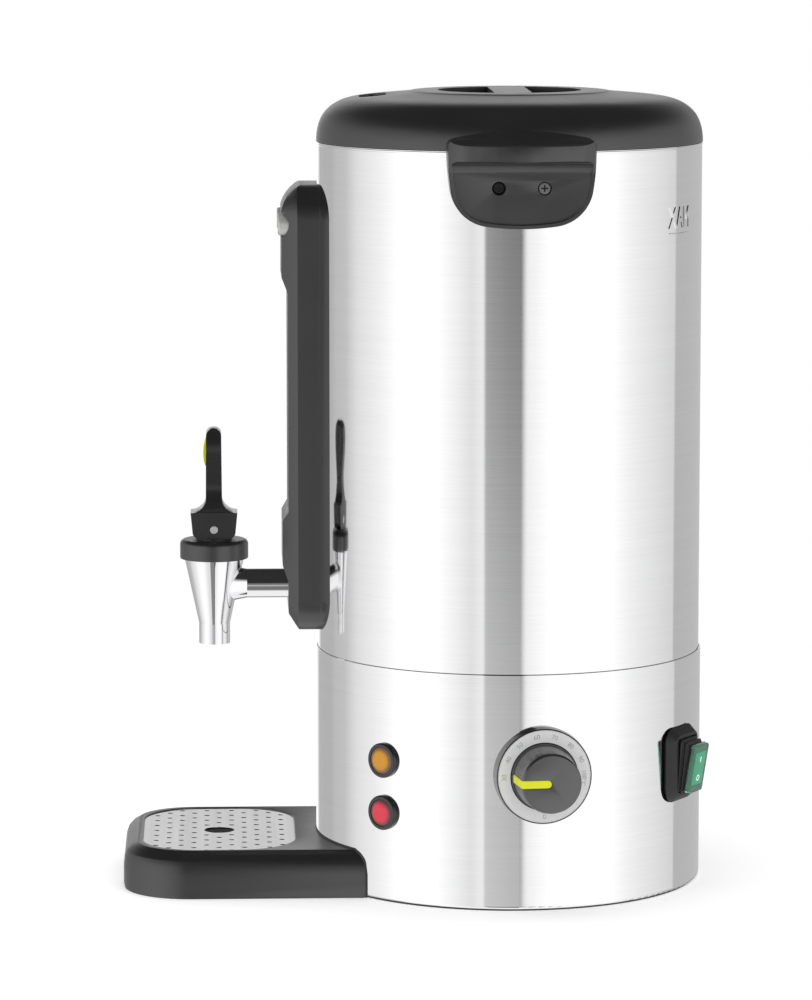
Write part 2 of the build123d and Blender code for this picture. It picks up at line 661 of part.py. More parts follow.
def boil_dry_cutout():
    """Snap disc thermostat against the middle of the heater plate, with two flat terminals."""
    low = HEATER_UNDER - CUTOUT_HEIGHT
    body = rod(CUTOUT_RADIUS, low, HEATER_UNDER)
    for x in (-CUTOUT_RADIUS / 2, CUTOUT_RADIUS / 2):
        body += Pos(x, 0, low) * terminal_tab(upright=True)
    return body


# ------------------------------------------------------------------ lid group
def lid_profile(inset=0.0):
    """Solid down to the liner's floor under the lid's outside, or under a surface inset from it."""
    rise = LID_TOP - LID_FOOT
    places = [
        (LID_RADIUS, LID_FOOT),
        (LID_RADIUS - 0.7, LID_FOOT + LID_RIM_HEIGHT),
        (LID_RADIUS - 4.3, LID_FOOT + rise * 0.54),
        (LID_RADIUS - 12.0, LID_FOOT + rise * 0.76),
        (LID_RADIUS - 28.0, LID_FOOT + rise * 0.89),
        (LID_RADIUS * 0.52, LID_TOP - 0.7),
        (GRIP_RADIUS, LID_TOP),
    ]
    knots = [Vector(*place) for place in places]
    slopes = [knots[min(k + 1, len(knots) - 1)] - knots[max(k - 1, 0)] for k in range(len(knots))]
    slopes[0], slopes[-1] = Vector(0, 1), Vector(-1, 0)
    inwards = [Vector(-slope.Y, slope.X).normalized() for slope in slopes]
    moved = [knot + direction * inset for knot, direction in zip(knots, inwards)]
    start, end = moved[0], moved[-1]
    curve = Spline(*moved, tangents=[(0, 1), (-1, 0)])
    rest = Polyline(end, (0, end.Y), (0, LINER_FLOOR), (start.X, LINER_FLOOR), start)
    return revolve(Plane.XZ * make_face(curve + rest), Axis.Z)


def lid_screw_places():
    """(x, y) of each lid screw, on the diagonals."""
    for k in range(LID_SCREW_COUNT):
        angle = math.radians(45 + k * 360 / LID_SCREW_COUNT)
        yield LID_SCREW_CIRCLE * math.cos(angle), LID_SCREW_CIRCLE * math.sin(angle)


def vent_outline(grow=0.0):
    """Sketch of the steam vent, long way along X."""
    return Pos(0, VENT_Y) * SlotOverall(VENT_LENGTH + 2 * grow, VENT_WIDTH + 2 * grow)


def lid_shell():
    """Moulded cover with the finger grip's bar across its middle, a vent hole and screw bosses."""
    outside = lid_profile()
    shell = (outside - lid_profile(LID_WALL)) & rod(FAR, LID_FOOT, LID_TOP + OVER)
    shell -= rod(GRIP_RADIUS, LID_TOP - 2 * LID_WALL, LID_TOP + OVER)
    bar_foot = LID_TOP - GRIP_BAR_DEPTH
    bar = block(-FAR, FAR, -GRIP_BAR_WIDTH / 2, GRIP_BAR_WIDTH / 2, bar_foot, LID_TOP)
    shell += bar & rod(GRIP_RADIUS + GRIP_BAR_ROOT, bar_foot, LID_TOP)
    for x, y in lid_screw_places():
        boss = Pos(x, y, 0) * rod(LID_BOSS_RADIUS, LINER_FLOOR + LINER_THICKNESS, LID_TOP)
        shell += boss & outside
        shell -= Pos(x, y, 0) * rod(LID_SCREW_RADIUS, LINER_FLOOR, LINER_FLOOR + LID_SCREW_LENGTH)
    return shell - Pos(0, 0, LINER_FLOOR) * extrude(vent_outline(), FAR)


def grip_cup():
    """Bowl below the finger holes, notched where the grip's bar crosses its rim."""
    top = LID_TOP - LID_WALL
    floor = LID_TOP - GRIP_DEPTH
    outer = GRIP_RADIUS + GRIP_CUP_WALL
    cup = rod(outer, floor - GRIP_CUP_WALL, top)
    cup = fillet(rims(cup, outer, floor - GRIP_CUP_WALL), GRIP_CUP_ROUND + GRIP_CUP_WALL)
    room = rod(GRIP_RADIUS, floor, top + OVER)
    cup -= fillet(rims(room, GRIP_RADIUS, floor), GRIP_CUP_ROUND)
    bar_foot = LID_TOP - GRIP_BAR_DEPTH
    notch = block(-FAR, FAR, -GRIP_BAR_WIDTH / 2, GRIP_BAR_WIDTH / 2, bar_foot, top + OVER)
    return cup - (notch & rod(GRIP_RADIUS + GRIP_BAR_ROOT, bar_foot, top + OVER))


def lid_liner():
    """Stainless dish under the cover, held by its floor and with a lip above the seal."""
    side = LINER_RADIUS
    lip_top = LINER_LIP_Z
    lip_under = lip_top - LINER_THICKNESS
    liner = turned(
        (0, LINER_FLOOR), (side, LINER_FLOOR), (side, lip_under), (side + LINER_LIP, lip_under),
        (side + LINER_LIP, lip_top), (side - LINER_THICKNESS, lip_top),
        (side - LINER_THICKNESS, LINER_FLOOR + LINER_THICKNESS), (0, LINER_FLOOR + LINER_THICKNESS),
    )
    for x, y in lid_screw_places():
        liner -= Pos(x, y, LINER_FLOOR) * through(LID_SCREW_RADIUS + LID_SCREW_GAP)
    vent = extrude(vent_outline(-VENT_WALL), LINER_THICKNESS + 2 * OVER)
    return liner - Pos(0, 0, LINER_FLOOR - OVER) * vent


def lid_seal():
    """Silicone ring round the liner, just inside the tank's mouth."""
    outer = TANK_INNER - RUN_GAP
    mid = SEAL_FOOT_Z + SEAL_HEIGHT / 2
    return turned(
        (LINER_RADIUS, SEAL_FOOT_Z), (LINER_RADIUS + SEAL_ROOT, SEAL_FOOT_Z), (outer, mid),
        (LINER_RADIUS + SEAL_ROOT, SEAL_FOOT_Z + SEAL_HEIGHT), (LINER_RADIUS, SEAL_FOOT_Z + SEAL_HEIGHT),
    )


def vent_sleeve():
    """Slot-shaped tube from the cover's vent down to the liner."""
    low = LINER_FLOOR + LINER_THICKNESS
    high = LID_TOP - 2 * LID_WALL
    sleeve = extrude(vent_outline(), high - low) - extrude(vent_outline(-VENT_WALL), high - low)
    return Pos(0, 0, low) * sleeve


def lid_screws():
    """Screws from below the liner into the cover's bosses."""
    head = rod(LID_SCREW_HEAD_RADIUS, LINER_FLOOR - LID_SCREW_HEAD_HEIGHT, LINER_FLOOR)
    screw = head + rod(LID_SCREW_RADIUS, LINER_FLOOR, LINER_FLOOR + LID_SCREW_LENGTH)
    return spread([Pos(x, y, 0) * screw for x, y in lid_screw_places()])


# ------------------------------------------------------------------ handles
def handle_plan():
    """Sketch of the shelf seen from above: straight sides and a bowed front with round corners."""
    half = HANDLE_WIDTH / 2
    front = ThreePointArc((HANDLE_SHOULDER, -half), (HANDLE_REACH, 0), (HANDLE_SHOULDER, half))
    sides = Polyline(
        (HANDLE_SHOULDER, half), (HANDLE_ROOT_X, half), (HANDLE_ROOT_X, -half), (HANDLE_SHOULDER, -half)
    )
    sketch = make_face(front + sides)
    corners = [v for v in sketch.vertices() if abs(v.X - HANDLE_SHOULDER) < 0.01]
    return fillet(corners, HANDLE_CORNER)


def handle_front(inset=0.0):
    """Sketch in Y and Z of the handle seen from the front: arched top and a shield that narrows to a round foot."""
    half = HANDLE_WIDTH / 2 - inset
    foot = HANDLE_FOOT_Z + inset
    shoulder = HANDLE_CREST_Z - HANDLE_END_DROP
    top = ThreePointArc((half, shoulder), (0, HANDLE_CREST_Z), (-half, shoulder))
    low_corner = foot + HANDLE_FOOT_BOW
    low_half, mid_half = half - HANDLE_TAPER, half - HANDLE_TAPER_MID
    middle = (shoulder + low_corner) / 2
    bottom = ThreePointArc((-low_half, low_corner), (0, foot), (low_half, low_corner))
    left = ThreePointArc((-half, shoulder), (-mid_half, middle), (-low_half, low_corner))
    right = ThreePointArc((low_half, low_corner), (mid_half, middle), (half, shoulder))
    sketch = make_face(top + left + bottom + right)
    low = [v for v in sketch.vertices() if abs(v.Y - low_corner) < 0.01]
    sketch = fillet(low, HANDLE_FOOT_CORNER - inset)
    high = [v for v in sketch.vertices() if abs(v.Y - shoulder) < 0.01]
    return fillet(high, HANDLE_TOP_CORNER)


def handle_side():
    """Sketch in X and Z of the handle seen from the side: dished top, upright band, coved underside."""
    dish = ((HANDLE_CREST_X + HANDLE_REACH) / 2, (HANDLE_CREST_Z + HANDLE_FRONT_Z) / 2 - HANDLE_DISH)
    top = ThreePointArc((HANDLE_CREST_X, HANDLE_CREST_Z), dish, (HANDLE_REACH, HANDLE_FRONT_Z))
    band = Line((HANDLE_REACH, HANDLE_FRONT_Z), (HANDLE_REACH, HANDLE_BAND_Z))
    cove_foot = HANDLE_BAND_Z - HANDLE_COVE
    cove = ThreePointArc(
        (HANDLE_REACH, HANDLE_BAND_Z),
        (HANDLE_FACE_TOP_X + HANDLE_COVE_MID[0], HANDLE_BAND_Z - HANDLE_COVE_MID[1]),
        (HANDLE_FACE_TOP_X, cove_foot),
    )
    foot = HANDLE_FOOT_Z - OVER
    face = Line((HANDLE_FACE_TOP_X, cove_foot), (HANDLE_FACE_FOOT_X, foot))
    rest = Polyline(
        (HANDLE_FACE_FOOT_X, foot), (HANDLE_ROOT_X, foot), (HANDLE_ROOT_X, HANDLE_CREST_Z),
        (HANDLE_CREST_X, HANDLE_CREST_Z),
    )
    return make_face(top + band + cove + face + rest)


def handle():
    """One handle at +X: shelf, band and recessed shield, cut to the tank and clear of the lid."""
    side = extrude(Plane.XZ * handle_side(), HANDLE_WIDTH, both=True)
    solid = extrude(Plane.YZ * handle_front(), FAR) & side & extrude(handle_plan(), 2 * FAR)
    low, high = HANDLE_FOOT_Z - OVER, HANDLE_BAND_Z - HAIR
    below_band = block(TANK_RADIUS, FAR, -HANDLE_WIDTH, HANDLE_WIDTH, low, high)
    pocket = extrude(Plane.YZ * handle_front(HANDLE_RIM), FAR)
    solid -= pocket & Pos(-HANDLE_POCKET, 0, 0) * (below_band - side)
    solid -= drum(TANK_RADIUS)
    solid -= rod(LID_RADIUS + HANDLE_LID_GAP, TANK_TOP - TANK_BEAD_HEIGHT - HANDLE_BEAD_GAP, 2 * FAR)
    for side_sign, seat in HANDLE_SCREW_SEATS.items():
        y = side_sign * HANDLE_SCREW_Y
        solid -= along_x(HANDLE_SCREW_HOLE_RADIUS, seat, FAR, y, HANDLE_SCREW_Z)
        solid -= along_x(HANDLE_SCREW_RADIUS + HANDLE_SCREW_GAP, TANK_RADIUS - PIERCE, FAR, y, HANDLE_SCREW_Z)
    return solid


def handle_screw(seat, y):
    """Pan head screw with a cross recess, through the handle, the tank and the backing plate."""
    head_end = seat + HANDLE_SCREW_HEAD_HEIGHT
    inner_end = TANK_INNER - BACKING_THICKNESS - NUT_HEIGHT
    screw = along_x(HANDLE_SCREW_RADIUS, inner_end, seat, y, HANDLE_SCREW_Z)
    head = along_x(HANDLE_SCREW_HEAD_RADIUS, seat, head_end, y, HANDLE_SCREW_Z)
    head = fillet(head.edges().group_by(Axis.X)[-1], HANDLE_SCREW_HEAD_ROUND)
    for length, width in ((CROSS_LENGTH, CROSS_WIDTH), (CROSS_WIDTH, CROSS_LENGTH)):
        head -= block(
            head_end - CROSS_DEPTH, head_end + OVER, y - length / 2, y + length / 2,
            HANDLE_SCREW_Z - width / 2, HANDLE_SCREW_Z + width / 2,
        )
    return screw + head


def both_sides(shape):
    """A shape and its copy turned half round the body's axis."""
    return [shape, Rot(0, 0, 180) * shape]


def handle_screws():
    """Four screws, two for each handle."""
    pieces = [handle_screw(seat, sign * HANDLE_SCREW_Y) for sign, seat in HANDLE_SCREW_SEATS.items()]
    return spread([copy for piece in pieces for copy in both_sides(piece)])


def backing_plates():
    """Curved strips inside the tank behind each handle."""
    strip = tube(TANK_INNER, TANK_INNER - BACKING_THICKNESS, -BACKING_HEIGHT / 2, BACKING_HEIGHT / 2)
    strip &= block(0, FAR, -BACKING_WIDTH / 2, BACKING_WIDTH / 2, -BACKING_HEIGHT, BACKING_HEIGHT)
    strip = Pos(0, 0, HANDLE_SCREW_Z) * strip
    for y in (-HANDLE_SCREW_Y, HANDLE_SCREW_Y):
        strip -= along_x(HANDLE_SCREW_RADIUS + SLIP_GAP, TANK_INNER - PIERCE, TANK_RADIUS, y, HANDLE_SCREW_Z)
    return spread(both_sides(strip))


def handle_nuts():
    """Domed nuts on the screws inside the tank."""
    nuts = []
    surface = TANK_INNER - BACKING_THICKNESS
    for y in (-HANDLE_SCREW_Y, HANDLE_SCREW_Y):
        x = math.sqrt(surface**2 - (abs(y) + NUT_ACROSS / math.sqrt(3)) ** 2)
        turned_in = Plane((x, y, HANDLE_SCREW_Z), x_dir=(0, 1, 0), z_dir=(-1, 0, 0))
        dome = rod(NUT_DOME_RADIUS, NUT_HEIGHT, NUT_HEIGHT + NUT_DOME_HEIGHT)
        nut = turned_in * (hexagon(NUT_ACROSS, NUT_HEIGHT) + dome)
        nut += along_x(NUT_DOME_RADIUS, x, surface, y, HANDLE_SCREW_Z) & drum(surface)
        nut -= along_x(HANDLE_SCREW_RADIUS, x - NUT_HEIGHT, TANK_RADIUS, y, HANDLE_SCREW_Z)
        nuts += both_sides(nut)
    return spread(nuts)


# ------------------------------------------------------------------ level gauge
def rail_outline(inset=0.0):
    """Front view of the rail as a sketch about the origin."""
    height = RAIL_TOP_Z - RAIL_FOOT_Z - 2 * inset
    return RectangleRounded(RAIL_WIDTH - 2 * inset, height, RAIL_CORNER - inset)


def rail_plane(y):
    """Plane of the rail's outline at a depth, facing -Y."""
    return Plane((0, y, (RAIL_FOOT_Z + RAIL_TOP_Z) / 2), x_dir=(1, 0, 0), z_dir=(0, -1, 0))


def rail_side(depth=0.0):
    """Side view in Y and Z of the cover's front, moved inwards by a depth."""
    top_y, mid_y, low_y = RAIL_FRONT_TOP_Y + depth, RAIL_FRONT_MID_Y + depth, RAIL_FRONT_LOW_Y + depth
    shoulder = RAIL_TOP_SHOULDER_Z - depth
    round_top = ThreePointArc(
        (top_y, shoulder),
        ((top_y + RAIL_CREASE_Y) / 2 - RAIL_TOP_BULGE, (shoulder + RAIL_TOP_Z) / 2 + RAIL_TOP_BULGE),
        (RAIL_CREASE_Y + RAIL_TOP_EDGE, RAIL_TOP_Z - depth),
    )
    rest = Polyline(
        (RAIL_CREASE_Y + RAIL_TOP_EDGE, RAIL_TOP_Z - depth), (RAIL_ROOT_Y, RAIL_TOP_Z - depth),
        (RAIL_ROOT_Y, RAIL_FOOT_Z + depth), (RAIL_CREASE_Y + RAIL_FOOT_EDGE, RAIL_FOOT_Z + depth),
        (mid_y, RAIL_LOW_FACE_FOOT_Z),
        (mid_y, RAIL_LOW_FACE_TOP_Z), (low_y, RAIL_LOW_BLOCK_FOOT_Z), (low_y, RAIL_LOW_BLOCK_TOP_Z),
        (mid_y, RAIL_MID_FOOT_Z), (mid_y, RAIL_MID_TOP_Z), (top_y, RAIL_TOP_BLOCK_Z), (top_y, shoulder),
    )
    return make_face(round_top + rest)


def rail_solid(inset=0.0):
    """Outside of the rail's cover: straight sides up to the crease, then 45 degree facets."""
    rise = RAIL_CREASE_Y - RAIL_FRONT_TOP_Y
    straight = rail_plane(RAIL_SEAM_Y) * extrude(rail_outline(inset), RAIL_SEAM_Y - RAIL_CREASE_Y)
    facets = rail_plane(RAIL_CREASE_Y) * extrude(rail_outline(inset), rise, taper=45)
    return (straight + facets) & extrude(Plane.YZ * rail_side(inset), RAIL_WIDTH, both=True)


def rail_recess_floor():
    """Y of the floor of the screws' recesses."""
    return RAIL_FRONT_TOP_Y + RAIL_RECESS_DEPTH


def rail_floor_front():
    """Y of the front of the housing's floor."""
    return -(TANK_RADIUS + RAIL_TANK_GAP + RAIL_FLOOR_THICKNESS)


def gauge_cover():
    """Cover of the rail: hollow, with the sight window, the tap arm's hole and the screws' recesses."""
    cover = rail_solid() - rail_solid(RAIL_WALL)
    window_height = WINDOW_TOP_Z - WINDOW_FOOT_Z
    window_centre = (0, RAIL_SEAM_Y, (WINDOW_TOP_Z + WINDOW_FOOT_Z) / 2)
    window = Plane(window_centre, x_dir=(0, 0, 1), z_dir=(0, -1, 0))
    cover -= window * extrude(SlotOverall(window_height, WINDOW_WIDTH), FAR)
    cover -= along_y(ARM_RADIUS + SLIP_GAP, RAIL_FRONT_TOP_Y - OVER, RAIL_SEAM_Y, ARM_Z)
    recess_floor = rail_recess_floor()
    recess_wall = RAIL_RECESS_RADIUS + RAIL_RECESS_WALL
    outside = rail_solid()
    for x in (-RAIL_SCREW_X, RAIL_SCREW_X):
        seat = along_y(recess_wall, RAIL_FRONT_TOP_Y, recess_floor + RAIL_RECESS_WALL, RAIL_SCREW_Z, x)
        cover += seat & outside
        cover -= along_y(RAIL_RECESS_RADIUS, RAIL_FRONT_TOP_Y - OVER, recess_floor, RAIL_SCREW_Z, x)
        cover -= along_y(RAIL_SCREW_RADIUS + SLIP_GAP, RAIL_FRONT_TOP_Y, RAIL_SEAM_Y, RAIL_SCREW_Z, x)
    return cover - drum(TANK_RADIUS + RAIL_TANK_GAP)


def gauge_housing():
    """Rear half of the rail: a stepped tray that hugs the tank, with two bosses for the screws."""
    lap = RAIL_WALL + SLIP_GAP
    floor_front = rail_floor_front()
    back = -TANK_RADIUS + RAIL_WRAP
    outer = rail_plane(back) * extrude(rail_outline(), back - RAIL_SEAM_Y)
    inner = rail_plane(back) * extrude(rail_outline(lap), back - floor_front)
    pocket_floor = -(TANK_RADIUS + RAIL_TANK_GAP)
    pocket = rail_plane(back) * extrude(rail_outline(lap + RAIL_WALL), back - pocket_floor)
    housing = outer + inner - pocket - drum(TANK_RADIUS)
    boss_end = floor_front - RAIL_BOSS_LENGTH
    for x in (-RAIL_SCREW_X, RAIL_SCREW_X):
        housing += along_y(RAIL_BOSS_RADIUS, boss_end, floor_front, RAIL_SCREW_Z, x)
        housing -= along_y(RAIL_SCREW_RADIUS, boss_end - OVER, floor_front, RAIL_SCREW_Z, x)
    housing -= along_y(SHANK_SEAL_RADIUS + SLIP_GAP, floor_front - OVER, back, ARM_Z)
    return housing - along_y(GROMMET_FLANGE + SLIP_GAP, floor_front - OVER, back, TOP_FITTING_Z)


def gauge_glass():
    """Plain glass tube between the two fittings."""
    return Pos(0, GLASS_Y, 0) * tube(GLASS_RADIUS, GLASS_RADIUS - GLASS_WALL, GLASS_FOOT_Z, GLASS_TOP_Z)


def gauge_manifold():
    """Block round the tap's shank with a socket for the glass."""
    body = along_y(MANIFOLD_RADIUS, MANIFOLD_FRONT_Y, MANIFOLD_REAR_Y, ARM_Z)
    boss = Pos(0, GLASS_Y, 0) * rod(GAUGE_BOSS_RADIUS, ARM_Z, MANIFOLD_BOSS_TOP_Z)
    body += boss & block(-FAR, FAR, RAIL_FRONT_LOW_Y, MANIFOLD_REAR_Y, 0, FAR)
    body -= Pos(0, GLASS_Y, 0) * rod(GLASS_RADIUS + SHAFT_GAP, GLASS_FOOT_Z, MANIFOLD_BOSS_TOP_Z + OVER)
    body -= Pos(0, GLASS_Y, 0) * rod(GLASS_RADIUS - GLASS_WALL, ARM_Z, GLASS_FOOT_Z + OVER)
    body -= along_y(ARM_RADIUS + SLIP_GAP, RAIL_FRONT_LOW_Y, MANIFOLD_FRONT_Y, ARM_Z)
    return body - along_y(SHANK_RADIUS + SHAFT_GAP, MANIFOLD_FRONT_Y - OVER, MANIFOLD_REAR_Y + OVER, ARM_Z)


def gauge_top_fitting():
    """Elbow that holds the glass's top, with a spigot into the tank."""
    top = TOP_FITTING_Z + GAUGE_BOSS_RADIUS
    body = Pos(0, GLASS_Y, 0) * rod(GAUGE_BOSS_RADIUS, TOP_FITTING_FOOT_Z, top)
    body += along_y(TOP_SPIGOT_RADIUS, GLASS_Y, -TANK_INNER + TOP_SPIGOT_INSIDE, TOP_FITTING_Z)
    body -= Pos(0, GLASS_Y, 0) * rod(GLASS_RADIUS + SHAFT_GAP, TOP_FITTING_FOOT_Z - OVER, GLASS_TOP_Z)
    body -= Pos(0, GLASS_Y, 0) * rod(GLASS_RADIUS - GLASS_WALL, GLASS_TOP_Z - OVER, TOP_FITTING_Z)
    return body - along_y(TOP_SPIGOT_BORE, GLASS_Y, -TANK_INNER + TOP_SPIGOT_INSIDE + OVER, TOP_FITTING_Z)


def gauge_seals():
    """Grommet round the top spigot, and the seals round the tap's shank outside and inside the tank."""
    inside = -TANK_RADIUS + PIERCE
    flange_front = -TANK_RADIUS - GROMMET_FLANGE_THICKNESS
    grommet = along_y(GROMMET_FLANGE, flange_front, inside, TOP_FITTING_Z) - drum(TANK_RADIUS)
    grommet += along_y(GROMMET_RADIUS, flange_front, -TANK_INNER + GROMMET_INSIDE, TOP_FITTING_Z)
    grommet -= along_y(TOP_SPIGOT_RADIUS, flange_front - OVER, inside, TOP_FITTING_Z)
    seal = along_y(SHANK_SEAL_RADIUS, MANIFOLD_REAR_Y, inside, ARM_Z) - drum(TANK_RADIUS)
    seal -= along_y(SHANK_RADIUS, MANIFOLD_REAR_Y - OVER, inside, ARM_Z)
    inner_face = -TANK_INNER + SHANK_WASHER_THICKNESS
    washer = along_y(SHANK_SEAL_RADIUS, -TANK_RADIUS, inner_face, ARM_Z) & drum(TANK_INNER)
    washer -= along_y(SHANK_RADIUS, -TANK_RADIUS - OVER, inner_face + OVER, ARM_Z)
    return spread([grommet, seal, washer])


def rail_screw(x):
    """Chromed socket screw with a large head in the cover's recess, into the housing's boss."""
    front = RAIL_FRONT_TOP_Y - RAIL_SCREW_PROUD
    head = along_y(RAIL_SCREW_HEAD_RADIUS, front, rail_recess_floor(), RAIL_SCREW_Z, x)
    head = fillet(head.edges().group_by(Axis.Y)[0], RAIL_SCREW_EDGE)
    socket = Plane((x, front, RAIL_SCREW_Z), x_dir=(1, 0, 0), z_dir=(0, 1, 0))
    head -= socket * hexagon(RAIL_SCREW_SOCKET, RAIL_SCREW_SOCKET_DEPTH)
    return head + along_y(RAIL_SCREW_RADIUS, rail_recess_floor(), rail_floor_front(), RAIL_SCREW_Z, x)


def rail_screws():
    """The two screws that hold the rail's cover."""
    return spread([rail_screw(x) for x in (-RAIL_SCREW_X, RAIL_SCREW_X)])


def level_strip():
    """White strip behind the glass, on the housing's floor."""
    floor_front = rail_floor_front()
    half = STRIP_WIDTH / 2
    low, high = WINDOW_FOOT_Z - STRIP_BELOW, WINDOW_TOP_Z + STRIP_ABOVE
    return block(-half, half, floor_front - STRIP_THICKNESS, floor_front, low, high)


# ------------------------------------------------------------------ tap
def at_tap(shape):
    """Place a shape made about the axis at the tap."""
    return Pos(0, TAP_Y, 0) * shape


def cone_radius(z):
    """Outside radius of the tap's cone at a height."""
    foot = TAP_OUTLET_Z + TAP_SPOUT_STRAIGHT
    share = (z - foot) / (TAP_TOP_Z - foot)
    return TAP_OUTLET_RADIUS + share * (TAP_TOP_RADIUS - TAP_OUTLET_RADIUS)


def tap_body():
    """Chromed body: spout cone, valve chamber and seat, and the arm that goes on as a threaded shank."""
    foot = TAP_OUTLET_Z + TAP_SPOUT_STRAIGHT
    cone = at_tap(turned(
        (0, TAP_OUTLET_Z), (TAP_OUTLET_RADIUS, TAP_OUTLET_Z), (TAP_OUTLET_RADIUS, foot),
        (TAP_TOP_RADIUS, TAP_TOP_Z), (0, TAP_TOP_Z),
    ))
    arm = along_y(ARM_RADIUS, TAP_Y, MANIFOLD_FRONT_Y, ARM_Z)
    collar_end = TAP_Y + cone_radius(ARM_Z) + ARM_COLLAR_LENGTH
    collar = Plane((0, TAP_Y, ARM_Z), x_dir=(1, 0, 0), z_dir=(0, 1, 0)) * Cone(
        ARM_COLLAR_RADIUS, ARM_RADIUS, collar_end - TAP_Y, align=(Align.CENTER, Align.CENTER, Align.MIN)
    )
    collar &= at_tap(rod(FAR, ARM_COLLAR_FOOT_Z, TAP_TOP_Z))
    shank = along_y(SHANK_RADIUS, MANIFOLD_FRONT_Y, SHANK_END_Y, ARM_Z)
    body = cone + arm + collar + shank
    floor = TAP_SEAT_Z
    thread_foot = TAP_TOP_Z - TAP_THREAD_DEPTH
    chamber = at_tap(turned(
        (0, floor), (cone_radius(floor) - TAP_WALL, floor),
        (cone_radius(thread_foot) - TAP_WALL, thread_foot), (TAP_THREAD_RADIUS, thread_foot),
        (TAP_THREAD_RADIUS, TAP_TOP_Z + OVER), (0, TAP_TOP_Z + OVER),
    ))
    body -= chamber
    body += at_tap(tube(TAP_BORE_RADIUS + TAP_SEAT_WALL, TAP_BORE_RADIUS, floor, floor + TAP_SEAT_LIP))
    body -= at_tap(rod(TAP_BORE_RADIUS, TAP_OUTLET_Z - OVER, floor + TAP_SEAT_LIP + OVER))
    return body - along_y(ARM_BORE_RADIUS, TAP_Y, SHANK_END_Y + OVER, ARM_Z)


def shank_nut():
    """Hexagonal nut that clamps the tap inside the tank."""
    y = -TANK_INNER + SHANK_WASHER_THICKNESS
    plane = Plane((0, y, ARM_Z), x_dir=(1, 0, 0), z_dir=(0, 1, 0))
    nut = plane * hexagon(SHANK_NUT_ACROSS, SHANK_NUT_HEIGHT)
    return nut - along_y(SHANK_RADIUS, y - OVER, y + SHANK_NUT_HEIGHT + OVER, ARM_Z)


def tap_bonnet():
    """Black screw ring over the chamber, with the stem's hole and a low neck under the lever."""
    top = TAP_TOP_Z + BONNET_HEIGHT
    cap = rod(BONNET_RADIUS, TAP_TOP_Z, top)
    cap = fillet(rims(cap, BONNET_RADIUS, top), BONNET_EDGE)
    cap = fillet(rims(cap, BONNET_RADIUS, TAP_TOP_Z), BONNET_FOOT_EDGE)
    cap += rod(BONNET_NECK_RADIUS, top, top + BONNET_NECK_HEIGHT)
    thread_foot = TAP_TOP_Z - TAP_THREAD_DEPTH + BONNET_THREAD_SHORT
    cap += rod(TAP_THREAD_RADIUS - SHAFT_GAP, thread_foot, TAP_TOP_Z)
    cap -= rod(BONNET_SPIGOT_BORE, thread_foot - OVER, top - BONNET_TOP_WALL)
    return at_tap(cap - rod(STEM_RADIUS + SHAFT_GAP, TAP_TOP_Z, top + BONNET_NECK_HEIGHT + OVER))


def cup_top():
    """Height of the cup's top, with the cup a running gap above the seat's lip."""
    return TAP_SEAT_Z + TAP_SEAT_LIP + RUN_GAP + CUP_HEIGHT


def tap_stem():
    """Steel stem with an eye for the lever's pin and a flange that carries the cup and the spring."""
    stem = rod(STEM_RADIUS, cup_top() - CUP_SOCKET, PIN_Z)
    stem += rod(STEM_FLANGE_RADIUS, cup_top(), cup_top() + STEM_FLANGE_HEIGHT)
    stem += along_x(STEM_EYE_RADIUS, -STEM_EYE_THICKNESS / 2, STEM_EYE_THICKNESS / 2, 0, PIN_Z)
    return at_tap(stem - along_x(PIN_RADIUS + SHAFT_GAP, -STEM_EYE_THICKNESS, STEM_EYE_THICKNESS, 0, PIN_Z))


def seat_cup():
    """Silicone cup that closes the seat."""
    low = cup_top() - CUP_HEIGHT
    cup = rod(CUP_RADIUS, low, cup_top())
    cup = fillet(rims(cup, CUP_RADIUS, low), CUP_EDGE)
    return at_tap(cup - rod(STEM_RADIUS, cup_top() - CUP_SOCKET, cup_top() + OVER))


def tap_spring():
    """Compression spring between the stem's flange and the bonnet."""
    low = cup_top() + STEM_FLANGE_HEIGHT + SPRING_WIRE_RADIUS
    high = TAP_TOP_Z + BONNET_HEIGHT - BONNET_TOP_WALL - SPRING_WIRE_RADIUS
    pitch = (high - low) / SPRING_TURNS
    path = Helix(pitch, high - low, SPRING_COIL_RADIUS, center=(0, 0, low))
    section = Plane(origin=path @ 0, z_dir=path % 0) * Circle(SPRING_WIRE_RADIUS)
    return at_tap(sweep(section, path))


def lever_profile():
    """Side view in Y and Z of the lever about the tap's axis: base block, cove and upright stem."""
    foot, shoulder = LEVER_BASE_FOOT_Z, LEVER_SHOULDER_Z
    wide, low_half, stem = LEVER_BASE_WIDTH / 2, LEVER_BASE_FOOT_WIDTH / 2, LEVER_STEM_THICKNESS / 2
    neck = shoulder + LEVER_FILLET_RISE
    top = LEVER_TOP_Z
    cove_y = stem + (wide - stem) * LEVER_COVE_DEPTH[0]
    cove_z = shoulder + LEVER_FILLET_RISE * LEVER_COVE_DEPTH[1]
    tip, tip_z = stem * LEVER_TAPER, top - LEVER_TOP_ROUND
    right_cove = ThreePointArc((wide, shoulder), (cove_y, cove_z), (stem, neck))
    right = Polyline((stem, neck), (tip, tip_z))
    cap = ThreePointArc((tip, tip_z), (0, top), (-tip, tip_z))
    left = Polyline((-tip, tip_z), (-stem, neck))
    left_cove = ThreePointArc((-stem, neck), (-cove_y, cove_z), (-wide, shoulder))
    under = Polyline((-wide, shoulder), (-low_half, foot), (low_half, foot), (wide, shoulder))
    sketch = make_face(right_cove + right + cap + left + left_cove + under)
    corners = [v for v in sketch.vertices() if abs(v.Y - foot) < 0.01]
    return fillet(corners, LEVER_FOOT_ROUND)


